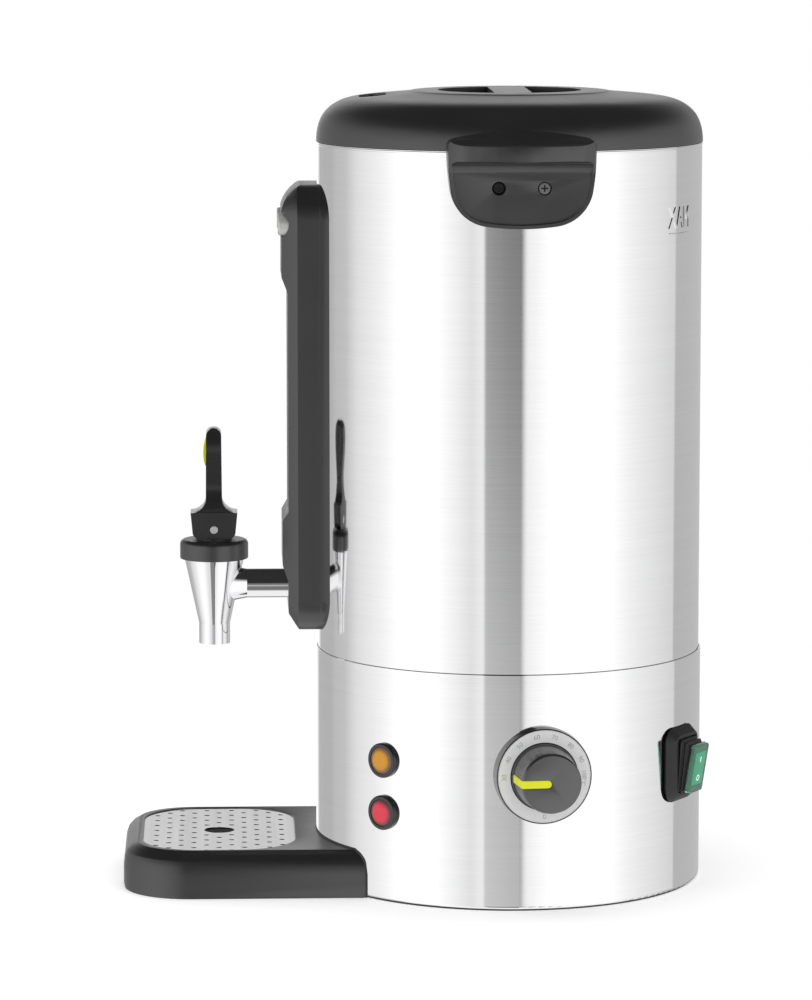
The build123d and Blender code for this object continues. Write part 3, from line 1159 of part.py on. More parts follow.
def lever_front():
    """Front view in X and Z of the lever: base, waist and rounded paddle."""
    base, waist, paddle = LEVER_BASE_DEPTH / 2, LEVER_WAIST / 2, LEVER_PADDLE / 2
    foot, shoulder, top = LEVER_BASE_FOOT_Z - OVER, LEVER_SHOULDER_Z, LEVER_TOP_Z + LEVER_CROWN
    waist_z = shoulder + LEVER_FILLET_RISE + LEVER_WAIST_RISE
    right = Spline(
        (base, shoulder), (waist, waist_z), (paddle, LEVER_PADDLE_Z), (0, top), tangents=[(0, 1), (-1, 0)]
    )
    left = Spline(
        (0, top), (-paddle, LEVER_PADDLE_Z), (-waist, waist_z), (-base, shoulder), tangents=[(-1, 0), (0, -1)]
    )
    under = Polyline((-base, shoulder), (-base, foot), (base, foot), (base, shoulder))
    return make_face(right + left + under)


def lever_accent():
    """Domed oval pad on the lever's front face, sunk a little into it."""
    face = -LEVER_STEM_THICKNESS / 2
    half = ACCENT_LENGTH / 2
    low, high = ACCENT_Z - half, ACCENT_Z + half
    dome = ThreePointArc((face, low), (face - ACCENT_PROUD, ACCENT_Z), (face, high))
    rest = Polyline((face, high), (face + ACCENT_SUNK, high), (face + ACCENT_SUNK, low), (face, low))
    oval = Plane((0, face + ACCENT_SUNK, ACCENT_Z), x_dir=(1, 0, 0), z_dir=(0, -1, 0)) * extrude(
        SlotOverall(ACCENT_LENGTH, ACCENT_WIDTH, rotation=90), ACCENT_SUNK + ACCENT_PROUD
    )
    return at_tap(oval & extrude(Plane.YZ * make_face(dome + rest), ACCENT_WIDTH, both=True))


def tap_lever():
    """Black lever: block over the stem's eye, slotted below, and an upright finger paddle."""
    lever = extrude(Plane.YZ * lever_profile(), LEVER_PADDLE, both=True)
    lever &= extrude(Plane.XZ * lever_front(), LEVER_BASE_WIDTH, both=True)
    half_slot = STEM_EYE_THICKNESS / 2 + RUN_GAP
    reach = STEM_EYE_RADIUS + 2 * RUN_GAP
    slot_front = -(reach + (PIN_Z - LEVER_BASE_FOOT_Z) * math.tan(math.radians(LEVER_TILT_MAX)))
    lever -= block(-half_slot, half_slot, slot_front, reach, LEVER_BASE_FOOT_Z - OVER, PIN_Z + reach)
    lever -= along_x(PIN_RADIUS, -LEVER_PADDLE, LEVER_PADDLE, 0, PIN_Z)
    return at_tap(lever) - lever_accent()


def tap_pin():
    """Steel pin through the lever's block and the stem's eye."""
    half = LEVER_BASE_DEPTH / 2 + PIN_PROUD
    pin = along_x(PIN_RADIUS, -half, half, 0, PIN_Z)
    return at_tap(fillet(pin.edges().filter_by(GeomType.CIRCLE), PIN_EDGE))


# ------------------------------------------------------------------ drip tray
def tray_plan(inset=0.0):
    """Sketch of the tray seen from above, before its rear is cut to the body."""
    half = TRAY_HALF_WIDTH - inset
    front = TRAY_FRONT_Y + inset
    sketch = make_face(
        Polyline((-half, front), (half, front), (half, TRAY_REAR_Y), (-half, TRAY_REAR_Y), close=True)
    )
    corners = [v for v in sketch.vertices() if abs(v.Y - front) < 0.01]
    return fillet(corners, TRAY_CORNER - inset)


def tray_loft(inset, top_cut):
    """Tray's outside: upright sides that round over to the top."""
    squash = 1 - top_cut / TRAY_TOP_Z
    return loft([Pos(0, 0, z * squash) * tray_plan(inset + step) for z, step in TRAY_SIDE], ruled=True)


def grid_outline(grow=0.0):
    """Sketch of the drip grid, or of its pocket when grown."""
    return Pos(0, GRID_CENTRE_Y) * RectangleRounded(
        GRID_WIDTH + 2 * grow, GRID_LENGTH + 2 * grow, GRID_CORNER + grow
    )


def tray_base():
    """Moulded tray: hollow skirt, basin under the grid, ledge for the grid and a flat tail."""
    outside = tray_loft(0, 0) - drum(BASE_RADIUS + RUN_GAP)
    hollow = tray_loft(TRAY_WALL, TRAY_TAIL_THICKNESS) - drum(BASE_RADIUS + RUN_GAP + TRAY_WALL)
    basin = extrude(grid_outline(SLIP_GAP + TRAY_WALL - GRID_LEDGE), TRAY_TOP_Z - OVER)
    basin -= rod(FAR, -OVER, BASIN_FLOOR_Z - BASIN_FLOOR_THICKNESS)
    tray = outside - (hollow - rod(FAR, -FAR, 0)) + (basin & outside)
    tray -= Pos(0, 0, BASIN_FLOOR_Z) * extrude(grid_outline(SLIP_GAP - GRID_LEDGE), TRAY_TOP_Z)
    ledge = GRID_TOP_Z - GRID_THICKNESS - RUN_GAP
    return tray - Pos(0, 0, ledge) * extrude(grid_outline(SLIP_GAP), TRAY_TOP_Z)


def grid_holes():
    """(x, y) of the small holes, staggered by half a pitch, clear of the rim and the drain."""
    half_pitch = GRID_PITCH / 2
    corner = GRID_FIELD_CORNER
    x_steps = int(GRID_WIDTH / 2 / half_pitch)
    y_steps = int(GRID_LENGTH / 2 / half_pitch)
    for i in range(-x_steps, x_steps + 1):
        for j in range(-y_steps, y_steps + 1):
            x, y = i * half_pitch, j * half_pitch
            past_x = abs(x) - (GRID_WIDTH / 2 - GRID_EDGE - corner)
            past_y = abs(y) - (GRID_LENGTH / 2 - GRID_EDGE - corner)
            within = math.hypot(max(past_x, 0), max(past_y, 0)) < corner
            clear_of_drain = math.hypot(x, y) > GRID_DRAIN_RADIUS + 2 * GRID_HOLE_RADIUS
            if (i + j) % 2 == 1 and within and clear_of_drain:
                yield x, y + GRID_CENTRE_Y


def drip_grid():
    """Flat stainless plate with round holes and a larger drain hole under the spout."""
    sketch = grid_outline() - Pos(0, GRID_CENTRE_Y) * Circle(GRID_DRAIN_RADIUS)
    sketch -= [Pos(x, y) * Circle(GRID_HOLE_RADIUS) for x, y in grid_holes()]
    return Pos(0, 0, GRID_TOP_Z - GRID_THICKNESS) * extrude(sketch, GRID_THICKNESS)


# ------------------------------------------------------------------ thermostat and dial
def at_dial(shape):
    """Place a shape at the dial, Z outwards from the shell's outside."""
    return panel(DIAL_AZIMUTH, DIAL_Z) * shape


def dial_bezel():
    """Black ring seat cut to the drum, with a recess for the scale ring and a well for the knob."""
    front, root = DIAL_BEZEL_PROUD, -DIAL_BEZEL_ROOT
    bezel = turned(
        (0, root), (DIAL_BEZEL_RADIUS, root), (DIAL_BEZEL_FRONT_RADIUS, front), (0, front)
    )
    bezel = fillet(rims(bezel, DIAL_BEZEL_FRONT_RADIUS, front), DIAL_BEZEL_EDGE)
    bezel -= rod(DIAL_RING_OUTER, front - DIAL_RING_THICKNESS - DIAL_RING_SUNK, front + OVER)
    bezel -= rod(DIAL_RING_INNER, front - DIAL_WELL, front + OVER)
    bezel -= rod(BUSH_RADIUS + SLIP_GAP, root - OVER, front + OVER)
    return at_dial(bezel) - drum(BASE_RADIUS)


def dial_scale_ring():
    """Silver scale ring in the bezel's recess."""
    top = DIAL_BEZEL_PROUD - DIAL_RING_SUNK
    return at_dial(tube(DIAL_RING_OUTER, DIAL_RING_INNER, top - DIAL_RING_THICKNESS, top))


def knob_foot():
    """Height of the knob's foot above the shell, a running gap above the bezel's well."""
    return DIAL_BEZEL_PROUD - DIAL_WELL + RUN_GAP


def knob_body(grow=0.0):
    """Outside of the knob: low skirt, leaning flank and flat face, grown outwards by an amount."""
    low = knob_foot()
    skirt = low + KNOB_SKIRT_HEIGHT
    rim, top, face = KNOB_SKIRT_RADIUS + grow, KNOB_FACE_RADIUS + grow / 2, KNOB_FACE_PROUD + grow
    return turned(
        (0, low), (rim, low), (rim, skirt - KNOB_EDGE), (rim - KNOB_SHOULDER, skirt),
        (top + KNOB_EDGE, face - KNOB_EDGE), (top, face), (0, face),
    )


def pointer_slab():
    """Straight slab from near the knob's centre out to the left, with a round inner end."""
    half = POINTER_WIDTH / 2
    low, high = DIAL_BEZEL_PROUD + KNOB_SKIRT_HEIGHT, KNOB_FACE_PROUD + OVER
    slab = block(-KNOB_SKIRT_RADIUS - OVER, -POINTER_INNER, -half, half, low, high)
    return slab + Pos(-POINTER_INNER, 0, 0) * rod(half, low, high)


def shaft_end():
    """Height of the shaft's end in the knob, above the shell."""
    return KNOB_FACE_PROUD - KNOB_WALL - POINTER_DEPTH


def dial_knob():
    """Hollow knob with a boss for the shaft and a groove for the pointer."""
    low = knob_foot() - OVER
    room = rod(KNOB_FACE_RADIUS - KNOB_WALL, low, shaft_end())
    boss_foot = DIAL_BEZEL_PROUD - DIAL_WELL + BUSH_NUT_HEIGHT + KNOB_BOSS_GAP
    knob = knob_body() - (room - rod(KNOB_BOSS_RADIUS, boss_foot, KNOB_FACE_PROUD))
    knob -= pointer_slab() - knob_body(-POINTER_DEPTH)
    return at_dial(knob - rod(SHAFT_RADIUS, low, shaft_end()))


def knob_pointer():
    """Yellow inlay from the knob's centre over its edge and down the flank."""
    return at_dial((pointer_slab() & knob_body(POINTER_PROUD)) - knob_body(-POINTER_DEPTH))


def dial_shaft():
    """Control shaft of the thermostat, pressed into the knob."""
    return at_dial(rod(SHAFT_RADIUS, -THERMOSTAT_FRONT - SHAFT_IN_CASE, shaft_end()))


def terminal_tab(upright=False):
    """Flat push-on terminal behind a face at the origin, its width along X or, upright, along Y."""
    tab = block(-TAB_WIDTH / 2, TAB_WIDTH / 2, -TAB_THICKNESS / 2, TAB_THICKNESS / 2, -TAB_LENGTH, OVER)
    return Rot(0, 0, 90) * tab if upright else tab


def thermostat_body():
    """Capillary thermostat behind the shell: case, threaded bush and three terminals."""
    rear = -THERMOSTAT_FRONT - THERMOSTAT_DEPTH
    outline = RectangleRounded(THERMOSTAT_SIZE, THERMOSTAT_SIZE, THERMOSTAT_CORNER)
    case = Pos(0, 0, rear) * extrude(outline, THERMOSTAT_DEPTH)
    nut_top = DIAL_BEZEL_PROUD - DIAL_WELL + BUSH_NUT_HEIGHT
    case += rod(BUSH_RADIUS, -THERMOSTAT_FRONT - OVER, nut_top)
    for k in (-1, 0, 1):
        case += Pos(k * THERMOSTAT_TAB_PITCH, -THERMOSTAT_TAB_DROP, rear) * terminal_tab()
    bore_end = -THERMOSTAT_FRONT - SHAFT_IN_CASE - RUN_GAP
    return at_dial(case - rod(SHAFT_RADIUS + SHAFT_GAP, bore_end, nut_top + OVER))


def bush_nut():
    """Flat nut that clamps the bezel and the shell to the thermostat's bush."""
    low = DIAL_BEZEL_PROUD - DIAL_WELL
    nut = hexagon(BUSH_NUT_ACROSS, BUSH_NUT_HEIGHT) - through(BUSH_RADIUS)
    return at_dial(Pos(0, 0, low) * nut)


def sensing_bulb():
    """Bulb under the heater plate and its fine capillary down through the shield to the thermostat."""
    bulb_z = HEATER_UNDER - BULB_RADIUS
    bulb = along_x(BULB_RADIUS, -BULB_LENGTH / 2, BULB_LENGTH / 2, BULB_Y, bulb_z)
    reach = BASE_RADIUS - THERMOSTAT_FRONT - THERMOSTAT_DEPTH
    angle = math.radians(DIAL_AZIMUTH)
    start = (reach * math.cos(angle), reach * math.sin(angle), DIAL_Z + CAPILLARY_EXIT)
    low_z, high_z = DIAL_Z + CAPILLARY_EXIT, bulb_z - CAPILLARY_DROP
    route = [start, (0, BULB_Y, low_z), (0, BULB_Y, high_z)]
    route += [(CAPILLARY_TURN_X, BULB_Y, high_z + CAPILLARY_RISE), (CAPILLARY_TURN_X, BULB_Y, bulb_z)]
    route += [(-BULB_LENGTH / 2 + OVER, BULB_Y, bulb_z)]
    path = FilletPolyline(*route, radius=CAPILLARY_BENDS)
    section = Plane(origin=path @ 0, z_dir=path % 0) * Circle(CAPILLARY_RADIUS)
    return bulb + sweep(section, path)


# ------------------------------------------------------------------ lamps
def at_lamp(height, shape):
    """Place a shape at a lamp, Z outwards from the shell's outside."""
    return panel(LAMP_AZIMUTH, height) * shape


def lamp_bezel(height):
    """Black ring cut to the drum, with a rounded front edge."""
    ring = rod(LAMP_BEZEL_RADIUS, -LAMP_BEZEL_PROUD, LAMP_BEZEL_PROUD)
    ring = fillet(rims(ring, LAMP_BEZEL_RADIUS, LAMP_BEZEL_PROUD), LAMP_BEZEL_EDGE)
    ring -= rod(LAMP_LENS_RADIUS, LAMP_BEZEL_PROUD - LAMP_SEAT, LAMP_BEZEL_PROUD + OVER)
    ring -= through(LAMP_NECK_RADIUS)
    return at_lamp(height, ring) - drum(BASE_RADIUS)


def lamp_lens(height):
    """Domed lens with a neck down into the lamp's body."""
    low = LAMP_BEZEL_PROUD - LAMP_SEAT
    sphere_radius = (LAMP_LENS_RADIUS**2 + LAMP_LENS_CROWN**2) / (2 * LAMP_LENS_CROWN)
    dome = Pos(0, 0, LAMP_LENS_PROUD - sphere_radius) * Sphere(sphere_radius)
    disc = rod(LAMP_LENS_RADIUS, low, LAMP_LENS_PROUD) & dome
    return at_lamp(height, disc + rod(LAMP_NECK_RADIUS, -LAMP_NECK_END, low))


def lamp_body(height):
    """Lamp's holder behind the shell, with two terminals."""
    radius, low = LAMP_BODY_RADIUS - LAMP_HOLDER_GAP, -LAMP_NECK_END - LAMP_BODY_LENGTH
    body = rod(radius, low, LAMP_SOCKET - LAMP_NECK_END)
    body -= rod(LAMP_NECK_RADIUS, -LAMP_NECK_END, LAMP_BEZEL_PROUD)
    for x in (-LAMP_TAB_PITCH / 2, LAMP_TAB_PITCH / 2):
        body += Pos(x, 0, low) * terminal_tab(upright=True)
    return at_lamp(height, body) & drum(BASE_RADIUS)


# ------------------------------------------------------------------ switch
def at_switch(shape):
    """Place a shape at the switch, Z outwards from the shell's outside."""
    return panel(SWITCH_AZIMUTH, SWITCH_Z) * shape


def at_rocker(shape):
    """Place a shape made about the pivot, leaned back to the off position, at the switch."""
    return at_switch(Pos(0, 0, SWITCH_PIVOT_PROUD) * Rot(SWITCH_TILT, 0, 0) * shape)


def opening_size():
    """Width and height of the opening that the boot rocks in."""
    return BOOT_WIDTH + 2 * RUN_GAP, 2 * (BOOT_RADIUS + RUN_GAP)


def sleeve_size():
    """Outside width and height of the frame's sleeve through the shell."""
    width, height = opening_size()
    return width + 2 * SWITCH_SLEEVE_WALL, height + 2 * SWITCH_SLEEVE_WALL


def switch_frame():
    """Black frame with sloping sides on a foot cut to the drum, with a sleeve through the shell."""
    width, height = opening_size()
    outline = RectangleRounded(SWITCH_FRAME_WIDTH, SWITCH_FRAME_HEIGHT, SWITCH_FRAME_CORNER)
    plate = extrude(outline, SWITCH_FRAME_PROUD - SWITCH_FRAME_REAR, taper=SWITCH_FRAME_DRAFT)
    plate = fillet(plate.edges().group_by(Axis.Z)[-1], SWITCH_FRAME_EDGE)
    foot_width, foot_height = SWITCH_FRAME_WIDTH - 2 * SWITCH_FRAME_RIM, SWITCH_FRAME_HEIGHT - 2 * SWITCH_FRAME_RIM
    foot = RectangleRounded(foot_width, foot_height, SWITCH_FRAME_CORNER - SWITCH_FRAME_RIM)
    foot = extrude(foot, SWITCH_FRAME_ROOT + SWITCH_PIVOT_PROUD)
    foot = at_switch(Pos(0, 0, -SWITCH_FRAME_ROOT) * foot) - drum(BASE_RADIUS)
    sleeve = extrude(Rectangle(*sleeve_size()), SWITCH_SLEEVE_DEPTH + SWITCH_PIVOT_PROUD)
    frame = at_switch(Pos(0, 0, SWITCH_FRAME_REAR) * plate) + foot
    frame += at_switch(Pos(0, 0, -SWITCH_SLEEVE_DEPTH) * sleeve)
    frame -= at_switch(extrude(Rectangle(width, height), 2 * PIERCE, both=True))
    pin = Plane.YZ * extrude(Circle(ROCKER_PIN_RADIUS + SHAFT_GAP), width / 2 + ROCKER_PIN_LENGTH, both=True)
    return frame - at_switch(Pos(0, 0, SWITCH_PIVOT_PROUD) * pin)


def boot_slice(low, high, radius, width):
    """Slice of the boot between two distances in front of the pivot, round about the pivot."""
    disc = Plane.YZ * extrude(Circle(radius), width / 2, both=True)
    return disc & block(-FAR, FAR, -FAR, FAR, low, high)


def switch_boot():
    """Black ribbed rubber boot that rocks in the frame, with the pivot pins."""
    core = BOOT_WIDTH - 2 * BOOT_STEP_COUNT * BOOT_STEP_NARROW
    boot = boot_slice(BOOT_REAR, BOOT_FRONT, BOOT_RADIUS - BOOT_STEP_GROOVE, core)
    rib_space = (BOOT_FRONT - BOOT_REAR) / BOOT_STEP_COUNT
    for k in range(BOOT_STEP_COUNT):
        low = BOOT_REAR + k * rib_space
        high, width = low + rib_space * BOOT_RIB_SHARE, BOOT_WIDTH - 2 * k * BOOT_STEP_NARROW
        boot += boot_slice(low, high, BOOT_RADIUS - k * BOOT_STEP_SHRINK, width)
    pin_half = BOOT_WIDTH / 2 + ROCKER_PIN_LENGTH
    return at_rocker(boot + Plane.YZ * extrude(Circle(ROCKER_PIN_RADIUS), pin_half, both=True))


def switch_rocker():
    """Green cap on the boot, leaning out at its top when it is off."""
    cap = extrude(RectangleRounded(ROCKER_WIDTH, ROCKER_HEIGHT, ROCKER_CORNER), ROCKER_THICKNESS)
    cap = fillet(cap.edges().group_by(Axis.Z)[-1], ROCKER_EDGE)
    return at_rocker(Pos(0, -ROCKER_DROP, BOOT_FRONT) * cap)


def switch_body():
    """Contact block behind the rocker, plugged into the frame's sleeve, with four terminals."""
    rear = -SWITCH_BODY_FRONT - SWITCH_BODY_DEPTH
    body = Pos(0, 0, rear) * extrude(Rectangle(*opening_size()), SWITCH_BODY_DEPTH)
    across, upright = SWITCH_TAB_PITCH
    for x in (-across / 2, across / 2):
        for y in (-upright / 2, upright / 2):
            body += Pos(x, y, rear) * terminal_tab(upright=True)
    return at_switch(body)


# ------------------------------------------------------------------ mains inlet
def cable_gland():
    """Gland through the rear of the base with its locknut face, bored for the mains lead."""
    body = hexagon(2 * GLAND_RADIUS, GLAND_HEX_HEIGHT)
    body += turned(
        (0, 0), (GLAND_CONE_FOOT, 0), (GLAND_CONE_FOOT, GLAND_HEX_HEIGHT), (GLAND_CONE_TOP, GLAND_PROUD),
        (0, GLAND_PROUD),
    )
    body += rod(GLAND_THREAD_RADIUS, -GLAND_INSIDE, OVER)
    body -= through(GLAND_BORE_RADIUS)
    return panel(GLAND_AZIMUTH, GLAND_Z) * body


def gland_nut():
    """Locknut of the gland inside the shell."""
    corner = GLAND_NUT_ACROSS / math.sqrt(3)
    face = BASE_RADIUS - math.sqrt(BASE_INNER**2 - corner**2)
    nut = Pos(0, 0, -face - GLAND_NUT_HEIGHT) * hexagon(GLAND_NUT_ACROSS, GLAND_NUT_HEIGHT)
    return panel(GLAND_AZIMUTH, GLAND_Z) * (nut - through(GLAND_THREAD_RADIUS))


def terminal_block():
    """Screw terminal block on the pan."""
    half, top = TERMINAL_LENGTH / 2, PAN_TOP + TERMINAL_HEIGHT
    y_low, y_high = TERMINAL_Y - TERMINAL_WIDTH / 2, TERMINAL_Y + TERMINAL_WIDTH / 2
    body = block(-half, half, y_low, y_high, PAN_TOP, top)
    pitch = TERMINAL_LENGTH / TERMINAL_SCREWS
    for k in range(TERMINAL_SCREWS):
        well = rod(TERMINAL_WELL_RADIUS, top - TERMINAL_WELL_DEPTH, top + OVER)
        body -= Pos(-half + pitch * (k + 0.5), TERMINAL_Y, 0) * well
    return body


# ------------------------------------------------------------------ write every node
NODES = {
    "base_shell": base_shell,
    "foot_ring": foot_ring,
    "base_plate": base_plate,
    "tie_rods": tie_rods,
    "support_ring": support_ring,
    "heat_shield": heat_shield,
    "tank": tank,
    "tank_floor": tank_floor,
    "heater_plate": heater_plate,
    "heating_element": heating_element,
    "boil_dry_cutout": boil_dry_cutout,
    "lid_shell": lid_shell,
    "grip_cup": grip_cup,
    "lid_liner": lid_liner,
    "lid_seal": lid_seal,
    "vent_sleeve": vent_sleeve,
    "lid_screws": lid_screws,
    "handle_right": handle,
    "handle_left": lambda: Rot(0, 0, 180) * handle(),
    "handle_screws": handle_screws,
    "backing_plates": backing_plates,
    "handle_nuts": handle_nuts,
    "gauge_cover": gauge_cover,
    "gauge_housing": gauge_housing,
    "gauge_glass": gauge_glass,
    "gauge_manifold": gauge_manifold,
    "gauge_top_fitting": gauge_top_fitting,
    "gauge_seals": gauge_seals,
    "rail_screws": rail_screws,
    "level_strip": level_strip,
    "tap_body": tap_body,
    "shank_nut": shank_nut,
    "tap_bonnet": tap_bonnet,
    "tap_stem": tap_stem,
    "seat_cup": seat_cup,
    "tap_spring": tap_spring,
    "tap_lever": tap_lever,
    "lever_accent": lever_accent,
    "tap_pin": tap_pin,
    "tray_base": tray_base,
    "drip_grid": drip_grid,
    "dial_bezel": dial_bezel,
    "dial_scale_ring": dial_scale_ring,
    "dial_knob": dial_knob,
    "knob_pointer": knob_pointer,
    "dial_shaft": dial_shaft,
    "thermostat_body": thermostat_body,
    "bush_nut": bush_nut,
    "sensing_bulb": sensing_bulb,
    "lamp_bezels": lambda: spread([lamp_bezel(z) for z in LAMP_HEIGHTS.values()]),
    "amber_lens": lambda: lamp_lens(LAMP_HEIGHTS["amber"]),
    "red_lens": lambda: lamp_lens(LAMP_HEIGHTS["red"]),
    "lamp_bodies": lambda: spread([lamp_body(z) for z in LAMP_HEIGHTS.values()]),
    "switch_frame": switch_frame,
    "switch_boot": switch_boot,
    "switch_rocker": switch_rocker,
    "switch_body": switch_body,
    "cable_gland": cable_gland,
    "gland_nut": gland_nut,
    "terminal_block": terminal_block,
}

for node_name, make in NODES.items():
    print("writing", node_name)
    export_step(make(), f"parts/{node_name}.step")
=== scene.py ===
"""Looks of a hot water urn: its finishes, its fine pieces, a plain studio and the camera.

The groups hold their sizes in millimetres, which become metres where a mesh is made. The finishes and the
studio are in metres. The origin is on the body's axis, on the surface that the urn stands on, with +Z up and
the tap towards -Y.
"""

from __future__ import annotations

import json
import logging
import math
from collections.abc import Sequence
from dataclasses import dataclass
from enum import Enum

import bmesh
import bpy
import numpy as np
from mathutils import Matrix, Vector

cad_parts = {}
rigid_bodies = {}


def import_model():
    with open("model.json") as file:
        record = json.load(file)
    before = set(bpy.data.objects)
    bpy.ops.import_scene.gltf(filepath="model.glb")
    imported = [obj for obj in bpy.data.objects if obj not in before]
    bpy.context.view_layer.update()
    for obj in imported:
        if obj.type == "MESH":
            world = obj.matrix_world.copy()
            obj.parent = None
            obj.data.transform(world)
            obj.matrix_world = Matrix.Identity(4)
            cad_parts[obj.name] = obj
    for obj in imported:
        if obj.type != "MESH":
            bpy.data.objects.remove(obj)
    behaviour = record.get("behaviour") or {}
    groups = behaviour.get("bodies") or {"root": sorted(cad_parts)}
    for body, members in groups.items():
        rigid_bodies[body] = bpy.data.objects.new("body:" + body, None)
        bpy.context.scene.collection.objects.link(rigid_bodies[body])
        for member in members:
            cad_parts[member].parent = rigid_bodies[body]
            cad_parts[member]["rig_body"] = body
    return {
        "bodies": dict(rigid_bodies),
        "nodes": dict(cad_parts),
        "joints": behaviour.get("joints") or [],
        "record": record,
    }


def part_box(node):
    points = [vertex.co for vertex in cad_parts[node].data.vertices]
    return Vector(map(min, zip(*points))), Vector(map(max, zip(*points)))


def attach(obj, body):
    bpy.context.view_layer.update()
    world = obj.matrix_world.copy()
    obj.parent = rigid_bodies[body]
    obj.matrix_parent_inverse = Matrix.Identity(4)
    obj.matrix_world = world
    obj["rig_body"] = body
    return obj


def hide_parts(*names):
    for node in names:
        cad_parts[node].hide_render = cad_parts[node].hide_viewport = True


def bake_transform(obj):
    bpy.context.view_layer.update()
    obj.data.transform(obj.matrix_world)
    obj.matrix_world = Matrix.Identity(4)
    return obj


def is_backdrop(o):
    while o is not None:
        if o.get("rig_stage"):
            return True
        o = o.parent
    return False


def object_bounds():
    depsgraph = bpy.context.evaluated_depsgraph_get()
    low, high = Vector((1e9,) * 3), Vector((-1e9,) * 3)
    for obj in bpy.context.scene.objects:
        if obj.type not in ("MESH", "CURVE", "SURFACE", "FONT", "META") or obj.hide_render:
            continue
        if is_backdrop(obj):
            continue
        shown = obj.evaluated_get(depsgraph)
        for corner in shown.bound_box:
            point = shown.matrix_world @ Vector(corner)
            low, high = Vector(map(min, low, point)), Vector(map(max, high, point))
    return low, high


LOG = logging.getLogger("urn")
MM = 0.001
MERGE = 2e-6  # points nearer than this many metres become one
Pair = tuple[float, float]
Triple = tuple[float, float, float]
Colour = Triple
Settings = dict[str, object]
Inputs = dict[str | int, object]
Node, Mesh, Object, Material = bpy.types.Node, bpy.types.Mesh, bpy.types.Object, bpy.types.Material


# ---------------- node graphs
# Operations of a Math node that expressions use.
MathOp = Enum("MathOp", ("ADD", "SUBTRACT", "MULTIPLY", "DIVIDE", "ABSOLUTE", "FRACT", "ARCTAN2", "MAXIMUM"))


class VectorOp(Enum):
    """Operations of a Vector Math node, each with the output that holds its result."""

    SUBTRACT = ("SUBTRACT", "Vector")
    MULTIPLY = ("MULTIPLY", "Vector")
    LENGTH = ("LENGTH", "Value")
    DOT = ("DOT_PRODUCT", "Value")


class Value:
    """A socket whose Python operators add Math nodes to its graph."""

    smooth = {"interpolation_type": "SMOOTHSTEP", "clamp": True}

    def __init__(self, graph: Graph, socket: bpy.types.NodeSocket) -> None:
        """Keeps the socket with the graph that it belongs to."""
        self.graph = graph
        self.socket = socket

    def __add__(self, other: Value | float) -> Value:
        """This plus the other."""
        return self.graph.math(MathOp.ADD, self, other)

    def __sub__(self, other: Value | float) -> Value:
        """This minus the other."""
        return self.graph.math(MathOp.SUBTRACT, self, other)

    def __rsub__(self, other: float) -> Value:
        """A number minus this."""
        return self.graph.math(MathOp.SUBTRACT, other, self)

    def __mul__(self, other: Value | float) -> Value:
        """This times the other."""
        return self.graph.math(MathOp.MULTIPLY, self, other)

    def __truediv__(self, other: Value | float) -> Value:
        """This divided by the other."""
        return self.graph.math(MathOp.DIVIDE, self, other)

    def __rtruediv__(self, other: float) -> Value:
        """A number divided by this."""
        return self.graph.math(MathOp.DIVIDE, other, self)

    def __abs__(self) -> Value:
        """This without its sign."""
        return self.graph.math(MathOp.ABSOLUTE, self)

    __radd__ = __add__
    __rmul__ = __mul__

    def ramp(self, low: float, high: float) -> Value:
        """Smooth step of this value, from 0 at the low end to 1 at the high end."""
        inputs = {"Value": self, "From Min": low, "From Max": high}
        return self.graph.out(self.graph.add("ShaderNodeMapRange", self.smooth, inputs), "Result")


